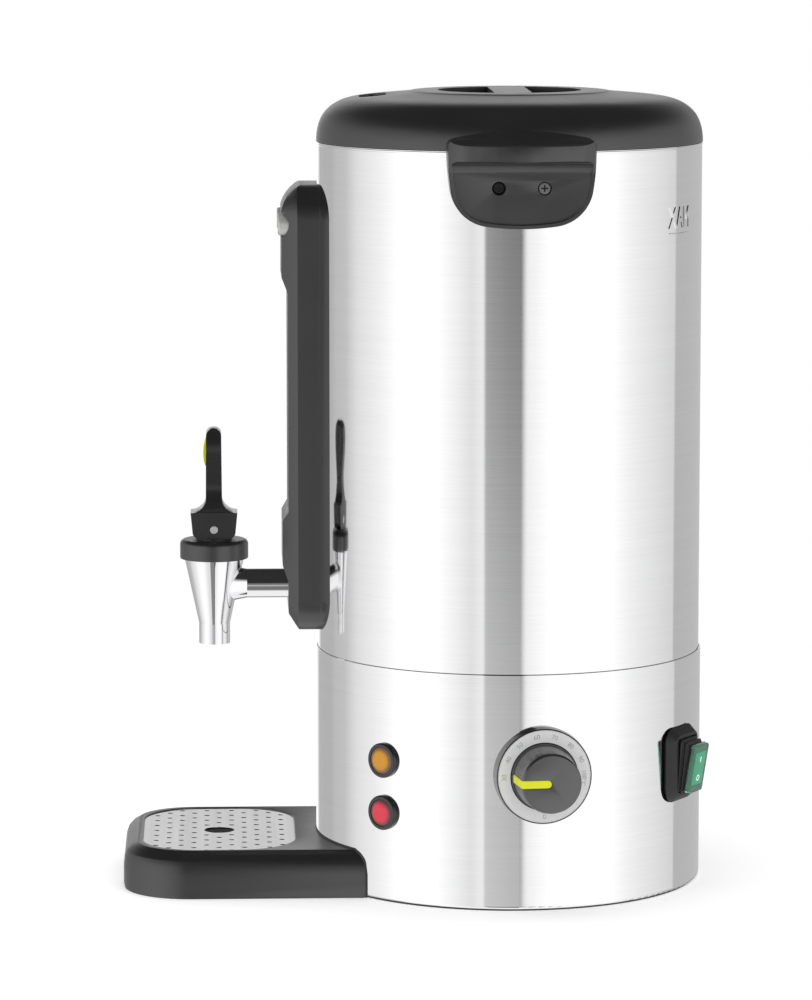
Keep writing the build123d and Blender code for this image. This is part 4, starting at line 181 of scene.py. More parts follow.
class Graph:
    """A node tree that is filled from an empty start, with the sockets of a Mix node's factor and colours."""

    mix_inputs = (0, 6, 7)
    mix_result = 2

    def __init__(self, owner: Material | bpy.types.World) -> None:
        """Empties the tree of a material or a world.

        Args:
            owner: What the tree belongs to.
        """
        owner.use_nodes = True
        self.tree = owner.node_tree
        self.tree.nodes.clear()

    def add(self, kind: str, settings: Settings | None = None, inputs: Inputs | None = None) -> Node:
        """Adds a node of any type.

        Args:
            kind: The node's type.
            settings: Properties that are set first, with a ramp's positions and colours under "stops".
            inputs: Numbers or sockets by the input's name or index.

        Returns:
            The node.
        """
        node = self.tree.nodes.new(kind)
        for name, value in (settings or {}).items():
            if name != "stops":
                setattr(node, name, value)
                continue
            while len(node.color_ramp.elements) < len(value):
                node.color_ramp.elements.new(1.0)
            for element, (position, colour) in zip(node.color_ramp.elements, value):
                element.position, element.color = position, (*colour, 1.0)
        for key, value in (inputs or {}).items():
            if isinstance(value, Value):
                self.tree.links.new(value.socket, node.inputs[key])
            else:
                node.inputs[key].default_value = value
        return node

    def out(self, node: Node, name: str | int = 0) -> Value:
        """One output of a node as a value."""
        return Value(self, node.outputs[name])

    def end(self, kind: str, shader: Node) -> None:
        """Joins a shader to an output node of some type."""
        output = self.add(kind)
        self.tree.links.new(shader.outputs[0], output.inputs["Surface"])

    def math(self, operation: MathOp, *terms: Value | float) -> Value:
        """Result of a Math node on its terms in order."""
        return self.out(self.add("ShaderNodeMath", {"operation": operation.name}, dict(enumerate(terms))))

    def vector(self, operation: VectorOp, *terms: Value | Sequence[float]) -> Value:
        """Result of a Vector Math node on its terms in order."""
        name, result = operation.value
        return self.out(self.add("ShaderNodeVectorMath", {"operation": name}, dict(enumerate(terms))), result)

    def position(self) -> Value:
        """The object coordinates, in metres."""
        return self.out(self.add("ShaderNodeTexCoord"), "Object")

    def parts(self, vector: Value) -> tuple[Value, Value, Value]:
        """The three parts of a vector."""
        node = self.add("ShaderNodeSeparateXYZ", None, {0: vector})
        return self.out(node, 0), self.out(node, 1), self.out(node, 2)

    def noise(self, vector: Value, scale: float = 1.0, detail: float = 2.0, roughness: float = 0.5) -> Value:
        """Soft noise from 0 to 1, whose scale is its features in each unit and its detail its octaves."""
        inputs = {"Vector": vector, "Scale": scale, "Detail": detail, "Roughness": roughness}
        return self.out(self.add("ShaderNodeTexNoise", None, inputs), 0)

    def mix(self, factor: Value | float, first: Value | Colour, second: Value | Colour) -> Value:
        """Blend of two colours.

        Args:
            factor: 0 for the first and 1 for the second.
            first: A colour or a socket.
            second: A colour or a socket.

        Returns:
            The blended colour.
        """
        ends = [end if isinstance(end, Value) else (*end, 1.0) for end in (first, second)]
        inputs = dict(zip(self.mix_inputs, (factor, *ends)))
        return self.out(self.add("ShaderNodeMix", {"data_type": "RGBA"}, inputs), self.mix_result)

    def bump(self, height: Value, strength: float, distance: float) -> Value:
        """Normal from a height, where a height of 1 stands proud by a distance in metres."""
        inputs = {"Height": height, "Strength": strength, "Distance": distance}
        return self.out(self.add("ShaderNodeBump", None, inputs))


def tinted(colour: Colour, factor: float) -> Colour:
    """A colour times a factor, as far as white."""
    return tuple(min(1.0, part * factor) for part in colour)


# ---------------- finishes
@dataclass(frozen=True)
class Finish:
    """A plain finish, which the others add their surface to.

    Where it has a recess shade reach, painted shade turns the colour dark in recesses, which lie below that
    reach along one axis.
    """

    name: str
    colour: Colour
    roughness: float
    metallic: float = 0.0
    ior: float = 1.5
    coat: float = 0.0
    coat_roughness: float = 0.08
    transmission: float = 0.0
    glow: float = 0.0
    mottle: float = 0.12
    mottle_scale: float = 35.0
    grain: float = 0.05
    grain_scale: float = 2200.0
    grain_depth: float = 0.00002
    relief: float = 0.35
    recess_shade_axis: int = 2
    recess_shade_reach: Pair | None = None
    recess_shade_colour: Colour = (0.012, 0.012, 0.013)

    def build(self) -> Material:
        """Makes the material and fills its graph.

        Returns:
            The material.
        """
        material = bpy.data.materials.new(self.name)
        graph = Graph(material)
        constants = {
            "Metallic": self.metallic,
            "IOR": self.ior,
            "Coat Weight": self.coat,
            "Coat Roughness": self.coat_roughness,
            "Transmission Weight": self.transmission,
            "Emission Strength": self.glow,
        }
        shader = graph.add("ShaderNodeBsdfPrincipled", None, constants)
        feeds = self.surface(graph)
        # Painted shade: what lies below the reach along the axis takes the dark shade colour.
        if self.recess_shade_reach:
            reach = abs(graph.parts(graph.position())[self.recess_shade_axis])
            feeds["Base Color"] = graph.mix(reach.ramp(*self.recess_shade_reach), self.recess_shade_colour, feeds["Base Color"])
        for socket, value in feeds.items():
            graph.tree.links.new(value.socket, shader.inputs[socket])
        graph.end("ShaderNodeOutputMaterial", shader)
        material.diffuse_color = (*self.colour, 1.0)
        return material

    def shade(self, graph: Graph, share: Value, depth: float) -> Value:
        """The finish's colour, darker by a depth where the share is 0 and lighter where it is 1."""
        return graph.mix(share, tinted(self.colour, 1.0 - depth), tinted(self.colour, 1.0 + depth))

    def sheen(self, share: Value, depth: float) -> Value:
        """The finish's roughness, lower by a depth where the share is 0 and higher where it is 1."""
        return share * (2.0 * self.roughness * depth) + self.roughness * (1.0 - depth)

    def surface(self, graph: Graph) -> dict[str, Value]:
        """Mottled colour and sheen, and a fine moulded grain.

        Args:
            graph: The material's graph.

        Returns:
            What feeds each varying socket.
        """
        place = graph.position()
        cloud = graph.noise(place, self.mottle_scale, detail=3.0)
        grain = graph.noise(place, self.grain_scale, roughness=0.6)
        rough = self.sheen(cloud, self.mottle)
        return {
            "Base Color": self.shade(graph, cloud, self.mottle),
            "Roughness": rough + (grain - 0.5) * self.grain,
            "Normal": graph.bump(grain, self.relief, self.grain_depth),
        }


@dataclass(frozen=True)
class Brushed(Finish):
    """Metal with fine scratches along one direction."""

    metallic: float = 1.0
    scratches: Triple = (22.0, 22.0, 1500.0)
    streaks: Triple = (5.0, 5.0, 260.0)
    scratch_share: float = 0.6
    contrast: float = 0.07
    rough_depth: float = 0.3
    grain_depth: float = 0.000012
    relief: float = 0.5

    def surface(self, graph: Graph) -> dict[str, Value]:
        """Noise drawn out along the scratches, at a fine and a broad scale.

        Args:
            graph: The material's graph.

        Returns:
            What feeds each varying socket.
        """
        place = graph.position()
        fine = graph.noise(graph.vector(VectorOp.MULTIPLY, place, self.scratches), detail=3.0, roughness=0.65)
        broad = graph.noise(graph.vector(VectorOp.MULTIPLY, place, self.streaks))
        share = fine * self.scratch_share + broad * (1.0 - self.scratch_share)
        return {
            "Base Color": self.shade(graph, share, self.contrast),
            "Roughness": self.sheen(share, self.rough_depth),
            "Normal": graph.bump(fine, self.relief, self.grain_depth),
        }


@dataclass(frozen=True)
class Turned(Finish):
    """Metal disc with scratches round a centre, at any lean."""

    metallic: float = 1.0
    centre: Triple = (0.0, 0.0, 0.0)
    rings: float = 3200.0
    drift: float = 3.0
    drift_scale: float = 60.0
    contrast: float = 0.06
    rough_depth: float = 0.25
    grain_depth: float = 0.00001
    relief: float = 0.3

    def surface(self, graph: Graph) -> dict[str, Value]:
        """Noise of the distance from the centre, which drifts slowly along each ring.

        Args:
            graph: The material's graph.

        Returns:
            What feeds each varying socket.
        """
        arm = graph.vector(VectorOp.SUBTRACT, graph.position(), self.centre)
        distance = graph.vector(VectorOp.LENGTH, arm)
        drift = graph.noise(arm, self.drift_scale, detail=1.0)
        spot = graph.add("ShaderNodeCombineXYZ", None, {0: distance * self.rings, 1: drift * self.drift})
        fine = graph.noise(graph.out(spot), roughness=0.6)
        return {
            "Base Color": self.shade(graph, fine, self.contrast),
            "Roughness": self.sheen(fine, self.rough_depth),
            "Normal": graph.bump(fine, self.relief, self.grain_depth),
        }


@dataclass(frozen=True)
class Lens(Finish):
    """Coloured lens that glows in its middle and may be cut in diamonds, darkened by painted shade towards its
    rim and along the diamonds' edges.

    The periods that are added keep what the diamonds' fractions are taken of positive.
    """

    centre: Triple = (0.0, 0.0, 0.0)
    right: Triple = (1.0, 0.0, 0.0)
    # rim is the painted shade that the lens fades to near its bezel, and cut is the painted shade along the
    # diamonds' edges
    rim: Colour = (0.1, 0.1, 0.1)
    fade: Pair = (0.0044, 0.0078)
    pitch: float = 0.0
    periods: float = 50.0
    groove: Pair = (0.45, 0.8)
    cut: float = 0.8
    rough_depth: float = 0.3
    relief: float = 0.2

    def surface(self, graph: Graph) -> dict[str, Value]:
        """Mix of the colour and the rim's painted shade by the distance from the centre, with painted shade
        along the diamonds' edges.

        Args:
            graph: The material's graph.

        Returns:
            What feeds each varying socket.
        """
        place = graph.position()
        arm = graph.vector(VectorOp.SUBTRACT, place, self.centre)
        distance = graph.vector(VectorOp.LENGTH, arm)
        cloud = graph.noise(place, self.mottle_scale)
        light = self.shade(graph, cloud, self.mottle)
        if self.pitch:
            across = graph.vector(VectorOp.DOT, arm, self.right)
            up = graph.parts(arm)[2]
            waves = [
                abs(graph.math(MathOp.FRACT, slope / self.pitch + self.periods) - 0.5)
                for slope in (across + up, across - up)
            ]
            grooves = (waves[0] + waves[1]).ramp(*self.groove)
            # Painted shade along the diamonds' edges.
            light = graph.mix(grooves, light, tinted(self.colour, 1.0 - self.cut))
        # Painted shade towards the rim, where the bezel shades the lens.
        tint = graph.mix(distance.ramp(*self.fade), light, self.rim)
        return {
            "Base Color": tint,
            "Emission Color": tint,
            "Roughness": self.sheen(cloud, self.rough_depth),
            "Normal": graph.bump(cloud, self.relief, self.grain_depth),
        }


class Paint(Enum):
    """The urn's finishes by the record's slots."""

    STEEL = Brushed("brushed_steel", (0.86, 0.86, 0.865), 0.07)
    PLAIN = Brushed("mill_steel", (0.5, 0.51, 0.52), 0.3, scratches=(300.0, 60.0, 300.0), contrast=0.12)
    # Below the grid's top face its hole walls turn dark: painted shade in the holes.
    GRID = Brushed(
        "grid_steel", (0.9, 0.9, 0.9), 0.36, scratches=(20.0, 1500.0, 300.0), streaks=(4.0, 200.0, 60.0),
        recess_shade_reach=(0.0262, 0.02635),
    )
    CHROME = Finish(
        "chrome", (0.82, 0.82, 0.83), 0.05, metallic=1.0, mottle=0.03, grain=0.01, grain_depth=0.000001
    )
    SATIN = Finish("satin_screw", (0.62, 0.62, 0.61), 0.42, metallic=0.6, mottle=0.1, mottle_scale=300.0)
    SCREW = Finish("bright_screw", (0.55, 0.55, 0.54), 0.3, metallic=1.0, mottle=0.2, mottle_scale=400.0)
    # Painted shade: nearer the axis than the reach, the cross recesses and the deeper-set left screws turn dark.
    DULL = Finish(
        "dull_screw", (0.2, 0.2, 0.205), 0.4, metallic=0.3, mottle_scale=400.0,
        recess_shade_axis=0, recess_shade_reach=(0.1196, 0.1202),
    )
    BLACK = Finish("satin_black", (0.013, 0.013, 0.014), 0.34, ior=1.8, grain_depth=0.00003)
    GLOSS = Finish("gloss_black", (0.018, 0.018, 0.019), 0.2, ior=1.6, grain=0.03, grain_depth=0.00001)
    KNOB = Finish(
        "knob_black", (0.022, 0.022, 0.023), 0.25, ior=2.0, mottle=0.04, grain=0.03, grain_depth=0.00001
    )
    RUBBER = Finish("black_rubber", (0.02, 0.02, 0.02), 0.55, grain_scale=1500.0, grain_depth=0.00004)
    SILICONE = Finish("milky_silicone", (0.6, 0.6, 0.57), 0.45)
    BRASS = Finish("brass", (0.62, 0.45, 0.2), 0.28, metallic=1.0, mottle=0.1)
    ALUMINIUM = Brushed("cast_aluminium", (0.7, 0.7, 0.71), 0.4, scratches=(300.0, 300.0, 300.0))
    CLEAR = Finish(
        "clear_glass", (0.96, 0.98, 0.98), 0.03, transmission=1.0, mottle=0.01, grain=0.0, grain_depth=0.0
    )
    WHITE = Finish("white_plastic", (0.78, 0.77, 0.73), 0.5)
    YELLOW = Finish("yellow_inlay", (0.88, 0.93, 0.004), 0.42, mottle=0.04)
    GREEN = Finish("green_insert", (0.03, 0.64, 0.38), 0.35, mottle=0.05)
    FRAME_GREEN = Finish("dark_green_frame", (0.045, 0.19, 0.12), 0.4)
    MINT = Finish(
        "clear_green_cap", (0.66, 0.98, 0.84), 0.05, ior=1.33, transmission=0.9, mottle=0.02, grain=0.0,
        grain_depth=0.0,
    )
    INK = Finish("grey_print", (0.27, 0.27, 0.275), 0.5, mottle=0.05)
    # The white print glows: painted light, as the marks are printed and no lamp.
    MARK = Finish("white_print_painted_glow", (0.9, 0.95, 0.92), 0.45, glow=0.5, mottle=0.03)


@dataclass(frozen=True)
class Coat:
    """What some nodes are finished with.

    Where an edge is given, a copy stands for each node, and its edges are that round where they turn by more
    degrees than the limit. What isn't mirrored doesn't show in the gloss of other pieces.
    """

    finish: Paint | Finish
    nodes: tuple[str, ...]
    edge: float = 0.0
    limit: float = 32.0
    mirrored: bool = True
    segments: int = 3
    flat: float = 0.4
    sharp: float = 60.0

    def round_edges(self, thing: Object) -> None:
        """Rounds an object's crisp edges.

        Args:
            thing: The object.
        """
        bevel = thing.modifiers.new("edges", "BEVEL")
        bevel.width = self.edge * MM
        bevel.segments = self.segments
        bevel.limit_method = "ANGLE"
        bevel.angle_limit = math.radians(self.limit)
        bevel.use_clamp_overlap = True
        bevel.harden_normals = True


# ---------------- surfaces
def full_turn(steps: int) -> np.ndarray:
    """Evenly spaced angles once round a circle."""
    return np.linspace(0.0, 2.0 * math.pi, steps, endpoint=False)


def grid_quads(rows: int, columns: int) -> np.ndarray:
    """Quads of a point grid whose columns run round a closed ring.

    Args:
        rows: Rings of points.
        columns: Points in each ring.

    Returns:
        Four point numbers for each quad, facing out where the rings run anticlockwise and rise.
    """
    row = np.arange(rows - 1)[:, None] * columns
    column = np.arange(columns)[None, :]
    after = (column + 1) % columns
    corners = (row + column, row + after, row + columns + after, row + columns + column)
    return np.stack(corners, axis=-1).reshape(-1, 4)


def linked(name: str, data: bpy.types.ID) -> Object:
    """Makes an object and puts it in the scene.

    Args:
        name: The object's name.
        data: Its mesh, curve, lamp or camera.

    Returns:
        The object.
    """
    thing = bpy.data.objects.new(name, data)
    bpy.context.scene.collection.objects.link(thing)
    return thing


def finished(name: str, mesh: Mesh, sharp: float, flat: float = 0.0) -> Object:
    """Makes an object of a mesh, with doubles merged, faces turned out, and smooth between sharp creases.

    Args:
        name: The object's name.
        mesh: Its mesh, in place.
        sharp: Edges that turn by more degrees than this stay sharp.
        flat: Faces that meet at fewer degrees than this become one.

    Returns:
        The object.
    """
    cage = bmesh.new()
    cage.from_mesh(mesh)
    bmesh.ops.remove_doubles(cage, verts=cage.verts, dist=MERGE)
    if flat:
        turn = math.radians(flat)
        bmesh.ops.dissolve_limit(cage, angle_limit=turn, verts=cage.verts, edges=cage.edges, delimit={"NORMAL"})
    bmesh.ops.recalc_face_normals(cage, faces=cage.faces)
    cage.to_mesh(mesh)
    cage.free()
    mesh.shade_smooth()
    mesh.set_sharp_from_angle(angle=math.radians(sharp))
    return linked(name, mesh)


def piece(name: str, points: np.ndarray, faces: np.ndarray, sharp: float = 40.0) -> Object:
    """Makes an object from points in millimetres.

    Args:
        name: The object's name.
        points: Points in any grid shape, with three parts each.
        faces: Point numbers of each face.
        sharp: Edges that turn by more degrees than this stay sharp.

    Returns:
        The object, with its place in its mesh.
    """
    mesh = bpy.data.meshes.new(name)
    mesh.from_pydata((points.reshape(-1, 3) * MM).tolist(), [], faces.tolist())
    return finished(name, mesh, sharp)


def slab(size: Pair, corner: float, layers: Sequence[Pair], arc: int = 8) -> tuple[np.ndarray, np.ndarray]:
    """Rounded rectangle carried up a profile: each layer has quarter circles about four corners' centres.

    Args:
        size: Width and height of the outline.
        corner: Radius of its corners, which stays above zero where a layer is inset.
        layers: Inset and height of each layer, from the foot up.
        arc: Points in each corner.

    Returns:
        The closed grid of points, anticlockwise and upwards, and its quads.
    """
    inset, height = np.array(layers, float).T[:, :, None, None]
    radius = np.maximum(corner - inset, 0.05)
    turn = np.linspace(0.0, math.pi / 2, arc) + np.arange(4)[:, None] * math.pi / 2
    x = np.array([1, -1, -1, 1])[:, None] * ((size[0] - 2 * inset) / 2 - radius) + np.cos(turn) * radius
    y = np.array([1, 1, -1, -1])[:, None] * ((size[1] - 2 * inset) / 2 - radius) + np.sin(turn) * radius
    rings = np.stack((x, y, np.broadcast_to(height, x.shape)), axis=-1).reshape(len(layers), -1, 3)
    grid = np.concatenate((rings[:1] * (0, 0, 1), rings, rings[-1:] * (0, 0, 1)))
    return grid, grid_quads(len(grid), grid.shape[1])


def soft_edge(low: float, high: float, edge: float, steps: int = 5) -> np.ndarray:
    """Inset and height of a slab's layers: a foot at the low height, and a quarter round up to the high one."""
    turn = np.linspace(0.0, math.pi / 2, steps)
    return np.vstack(
        ((0.0, low), np.column_stack((edge * (1 - np.cos(turn)), high - edge + edge * np.sin(turn))))
    )


def leaned(points: np.ndarray, degrees: float | np.ndarray, pivot: float) -> np.ndarray:
    """Turns points about the X axis through (y 0, z pivot): y and z go round by the angle's sine and cosine.

    Args:
        points: Grid of points.
        degrees: One angle, or one for each ring.
        pivot: Height of the turning axis.

    Returns:
        The turned points.
    """
    turn = np.radians(np.broadcast_to(np.asarray(degrees, float), points.shape[:1]))[:, None]
    y, z = points[..., 1], points[..., 2] - pivot
    leaning_y = y * np.cos(turn) - z * np.sin(turn)
    leaning_z = y * np.sin(turn) + z * np.cos(turn) + pivot
    return np.stack((points[..., 0], leaning_y, leaning_z), axis=-1)


def lettering(
    text: str, height: float, thickness: float, edge: float = 0.0, thin: float = 0.0
) -> tuple[Mesh, np.ndarray]:
    """Text as a mesh, with its points about the origin.

    Args:
        text: What it says.
        height: Height of its capitals, in millimetres.
        thickness: How thick the letters are.
        edge: Bevel of their edges.
        thin: How far the strokes' edges draw in, in parts of the letters' size.

    Returns:
        The mesh and its points in millimetres, from 0 up to the thickness.
    """
    curve = bpy.data.curves.new(text, "FONT")
    curve.body = text
    curve.extrude = thickness / 2
    curve.bevel_depth = edge
    curve.offset = -thin
    curve.bevel_resolution = 1
    curve.resolution_u = 4
    holder = linked(text, curve)
    bpy.context.view_layer.update()
    mesh = bpy.data.meshes.new_from_object(holder.evaluated_get(bpy.context.evaluated_depsgraph_get()))
    bpy.data.objects.remove(holder)
    bpy.data.curves.remove(curve)
    flat = np.empty(len(mesh.vertices) * 3)
    mesh.vertices.foreach_get("co", flat)
    points = flat.reshape(-1, 3)
    low, high = points.min(axis=0), points.max(axis=0)
    middle = np.array([*(low[:2] + high[:2]) / 2, low[2]])
    scale = height / (high[1] - low[1])
    return mesh, (points - middle) * (scale, scale, thickness / (high[2] - low[2]))


def lettered(name: str, mesh: Mesh, points: np.ndarray, sharp: float) -> Object:
    """Makes an object of lettering whose points, in millimetres, have been put in place."""
    mesh.vertices.foreach_set("co", (points * MM).ravel())
    return finished(name, mesh, sharp)


@dataclass(frozen=True)
class Panel:
    """Plane that touches the body: X to the right and Y up as seen from outside, Z outwards."""

    azimuth: float
    height: float
    radius: float = 115.0

    @property
    def axes(self) -> np.ndarray:
        """The right, up and outward directions as rows."""
        side, out = math.sin(math.radians(self.azimuth)), math.cos(math.radians(self.azimuth))
        return np.array([[-side, out, 0.0], [0.0, 0.0, 1.0], [out, side, 0.0]])

    def place(self, points: np.ndarray) -> np.ndarray:
        """Points on the plane, in the urn's own frame."""
        origin = self.axes[2] * self.radius + np.array([0.0, 0.0, self.height])
        return points @ self.axes + origin

    def proud(self, rise: float) -> Triple:
        """The point at a rise over the touching point, in metres."""
        return tuple(float(part) for part in self.place(np.array([0.0, 0.0, rise])) * MM)


# ---------------- workshop
class Workshop:
    """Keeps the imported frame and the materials, and puts each piece on its body."""

    def __init__(self) -> None:
        """Loads the frame and makes every finish once."""
        self.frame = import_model()
        self.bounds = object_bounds()
        self.slots = {part["node"]: part["material_slot"] for part in self.frame["record"]["subparts"]}
        self.materials = {paint: paint.value.build() for paint in Paint}

    def cover(self, thing: Object, finish: Paint | Finish) -> None:
        """Gives an object a finish as its only material."""
        thing.data.materials.clear()
        thing.data.materials.append(self.materials[finish] if isinstance(finish, Paint) else finish.build())

    def fit(
        self, thing: Object, finish: Paint | Finish, like: str, replaces: Sequence[str] = (), rides: bool = True
    ) -> None:
        """Gives a new piece its finish and puts it on the body of the node that it belongs with.

        Args:
            thing: The piece.
            finish: Its finish.
            like: The node whose body it takes.
            replaces: Nodes that it stands for.
            rides: Whether it rides on that body, and isn't blended between two.
        """
        if rides:
            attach(thing, self.frame["nodes"][like]["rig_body"])
        self.cover(thing, finish)
        if replaces:
            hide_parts(*replaces)
        LOG.info("fitted %s", thing.name)

    def copied(self, node: str, name: str, flat: float = 0.0, sharp: float = 40.0) -> Object:
        """Copies a node as a whole surface with plain normals.

        Args:
            node: The node to copy.
            name: The copy's name.
            flat: Faces that meet at fewer degrees than this become one.
            sharp: Edges that turn by more degrees than this stay sharp.

        Returns:
            The copy.
        """
        mesh = self.frame["nodes"][node].data.copy()
        mesh.name = name
        if mesh.has_custom_normals:
            mesh.normals_split_custom_set([(0.0, 0.0, 0.0)] * len(mesh.loops))
        return finished(name, mesh, sharp, flat)

    def apply(self, coat: Coat) -> None:
        """Paints a coat's nodes as they are, or stands a copy with rounded edges in the place of each.

        Args:
            coat: The coat.
        """
        for node in coat.nodes:
            target = self.frame["nodes"][node]
            if coat.edge:
                target = self.copied(node, f"{node}_soft", coat.flat, coat.sharp)
                coat.round_edges(target)
                self.fit(target, coat.finish, node, [node])
            else:
                self.cover(target, coat.finish)
                LOG.info("painted %s", node)
            target.visible_glossy = coat.mirrored


# ---------------- the urn's groups
@dataclass
class Group:
    """Sub-assembly of the urn, whose nodes have coats. Each kind adds its own sizes and pieces."""

    shop: Workshop
    coats: tuple[Coat, ...] = ()

    def build(self) -> None:
        """Gives the group's nodes their coats."""
        for coat in self.coats:
            self.shop.apply(coat)


@dataclass
class Tank(Group):
    """Brushed tank with its stamped level mark and its seam at the back, both of which reach into the wall."""

    coats: tuple[Coat, ...] = (
        Coat(Paint.STEEL, ("tank", "tank_floor", "backing_plates", "lid_liner")),
        Coat(Paint.SCREW, ("handle_nuts",)),
        Coat(Paint.SILICONE, ("lid_seal",)),
    )
    radius: float = 113.9
    sunk: float = 0.1
    mark_azimuth: float = 57.0
    mark_width: float = 25.0
    mark_height: float = 12.4
    mark_centre: float = 398.4
    mark_proud: float = 0.45
    mark_edge: float = 0.02
    line_size: Pair = (24.0, 1.3)
    line_corner: float = 0.6
    line_edge: float = 0.3
    line_centre: float = 389.0
    seam_azimuth: float = 180.0
    seam_width: float = 1.6
    seam_corner: float = 0.7
    seam_edge: float = 0.1
    seam_proud: float = 0.12
    seam_stop: float = 3.0

    def curved(self, points: np.ndarray, azimuth: float, height: float) -> np.ndarray:
        """Wraps flat points on the tank: x becomes an angle of x over the radius, z goes outwards."""
        turn, reach = math.radians(azimuth) + points[..., 0] / self.radius, self.radius + points[..., 2]
        return np.stack((reach * np.cos(turn), reach * np.sin(turn), points[..., 1] + height), axis=-1)

    def build_mark(self) -> None:
        """Level mark pressed out from the inside, so that it reads backwards, over a short line."""
        mesh, points = lettering("MAX", self.mark_height, self.mark_proud + self.sunk, self.mark_edge)
        width = points[:, 0].max() - points[:, 0].min()
        points = points * (-self.mark_width / width, 1, 1) - (0, 0, self.sunk)
        points = self.curved(points, self.mark_azimuth, self.mark_centre)
        self.shop.fit(lettered("level_mark", mesh, points, 50.0), Paint.STEEL, "tank")
        layers = soft_edge(-self.sunk, self.mark_proud, self.line_edge)
        grid, quads = slab(self.line_size, self.line_corner, layers, arc=6)
        line = piece("level_line", self.curved(grid, self.mark_azimuth, self.line_centre), quads)
        self.shop.fit(line, Paint.STEEL, "tank")

    def build_seam(self) -> None:
        """Polished weld down the back: a low half round drawn up the wall."""
        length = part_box("tank")[1].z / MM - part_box("base_shell")[1].z / MM - self.seam_stop
        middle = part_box("base_shell")[1].z / MM + length / 2
        layers = soft_edge(-self.sunk, self.seam_proud, self.seam_edge)
        grid, quads = slab((self.seam_width, length), self.seam_corner, layers, arc=4)
        seam = piece("tank_seam", self.curved(grid, self.seam_azimuth, middle), quads)
        self.shop.fit(seam, Paint.STEEL, "tank")

    def build(self) -> None:
        """Paints the tank's nodes and adds its marks."""
        super().build()
        self.build_mark()
        self.build_seam()


@dataclass
class Base(Group):
    """Base shell, what it stands on and what is inside it."""

    coats: tuple[Coat, ...] = (
        Coat(Paint.STEEL, ("base_shell",)),
        Coat(Paint.RUBBER, ("foot_ring",)),
        Coat(Paint.PLAIN, ("base_plate", "support_ring", "heat_shield", "heating_element")),
        Coat(Paint.SCREW, ("tie_rods",)),
        Coat(Paint.ALUMINIUM, ("heater_plate",)),
        Coat(Paint.WHITE, ("boil_dry_cutout", "terminal_block")),
        Coat(Paint.GLOSS, ("cable_gland",), edge=0.5),
        Coat(Paint.GLOSS, ("gland_nut",)),
    )


@dataclass
class Lid(Group):
    """Moulded lid with its finger grip and vent."""

    coats: tuple[Coat, ...] = (
        Coat(Paint.BLACK, ("lid_shell",), edge=0.7),
        Coat(Paint.BLACK, ("grip_cup", "vent_sleeve")),
        Coat(Paint.SCREW, ("lid_screws",)),
    )


@dataclass
class Handles(Group):
    """The two carrying handles and their screws."""

    coats: tuple[Coat, ...] = (
        Coat(Paint.BLACK, ("handle_right", "handle_left"), edge=0.9),
        Coat(Paint.DULL, ("handle_screws",)),
    )


@dataclass
class Gauge(Group):
    """Rail with the sight glass, none of which the tank mirrors."""

    coats: tuple[Coat, ...] = (
        Coat(Paint.BLACK, ("gauge_cover",), edge=0.8, limit=20.0, mirrored=False),
        Coat(Paint.BLACK, ("gauge_housing",), edge=0.5, mirrored=False),
        Coat(Paint.CLEAR, ("gauge_glass",), mirrored=False),
        Coat(Paint.SATIN, ("rail_screws",), mirrored=False),
        Coat(Paint.BRASS, ("gauge_manifold", "gauge_top_fitting"), mirrored=False),
        Coat(Paint.SILICONE, ("gauge_seals",), mirrored=False),
        Coat(Paint.WHITE, ("level_strip",), mirrored=False),
    )


@dataclass
class Tap(Group):
    """Lever tap."""

    coats: tuple[Coat, ...] = (
        Coat(Paint.CHROME, ("tap_body",)),
        Coat(Paint.CHROME, ("shank_nut",), mirrored=False),
        Coat(Paint.BLACK, ("tap_bonnet",)),
        Coat(Paint.GLOSS, ("tap_lever",), edge=1.3),
        Coat(Paint.YELLOW, ("lever_accent",), edge=0.8),
        Coat(Paint.SCREW, ("tap_stem",)),
        Coat(Paint.SATIN, ("tap_pin",)),
        Coat(Paint.SILICONE, ("seat_cup",)),
    )

    def build_spring(self) -> None:
        """Copies the spring as a piece of its own, which rides on no body."""
        spring = self.shop.copied("tap_spring", "spring_coil")
        self.shop.fit(spring, Paint.SCREW, "tap_spring", ["tap_spring"], rides=False)
        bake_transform(spring)

    def build(self) -> None:
        """Fits the spring, rounds the lever's edges and paints the rest."""
        self.build_spring()
        super().build()


@dataclass
class Tray(Group):
    """Drip tray and its grid, with a thin dark strip of painted shade along the tray's rear edge, in its gap to
    the base.
    """

    coats: tuple[Coat, ...] = (
        Coat(Paint.BLACK, ("tray_base",), edge=1.2, limit=14.0, mirrored=False),
        Coat(Paint.GRID, ("drip_grid",), mirrored=False),
    )
    # Sizes of the dark strip that paints the shade in the gap between tray and base.
    gap_shade_radii: Pair = (115.04, 115.27)
    gap_shade_foot: float = 0.4
    gap_shade_outline: tuple[Pair, ...] = ((67.0, 28.3), (71.3, 26.1), (74.1, 23.1), (75.5, 19.4), (75.8, 14.0))
    gap_shade_steps: int = 121

    def build_gap_shade(self) -> None:
        """Painted shade in the gap to the base: a thin dark strip along an arc, whose top falls towards its
        ends.
        """
        across, tops = np.array(self.gap_shade_outline).T
        inner, outer = self.gap_shade_radii
        half = math.asin(across[-1] / outer)
        turn = np.linspace(-half, half, self.gap_shade_steps)[:, None]
        radius = np.array([0, 1, 1, 0]) * (outer - inner) + inner
        high = np.interp(np.abs(outer * np.sin(turn)), across, tops)
        height = np.where(np.array([0, 0, 1, 1]), high, self.gap_shade_foot)
        grid = np.stack((radius * np.sin(turn), -radius * np.cos(turn), height), axis=-1)
        ends = [np.broadcast_to(ring.mean(axis=0), ring.shape)[None] for ring in (grid[0], grid[-1])]
        grid = np.concatenate((ends[0], grid, ends[1]))
        self.shop.fit(piece("tray_gap_shade", grid, grid_quads(len(grid), 4), 30.0), Paint.RUBBER, "tray_base")

    def build(self) -> None:
        """Adds the strip of painted gap shade, rounds the tray's edges and gives the grid its brushing."""
        self.build_gap_shade()
        super().build()


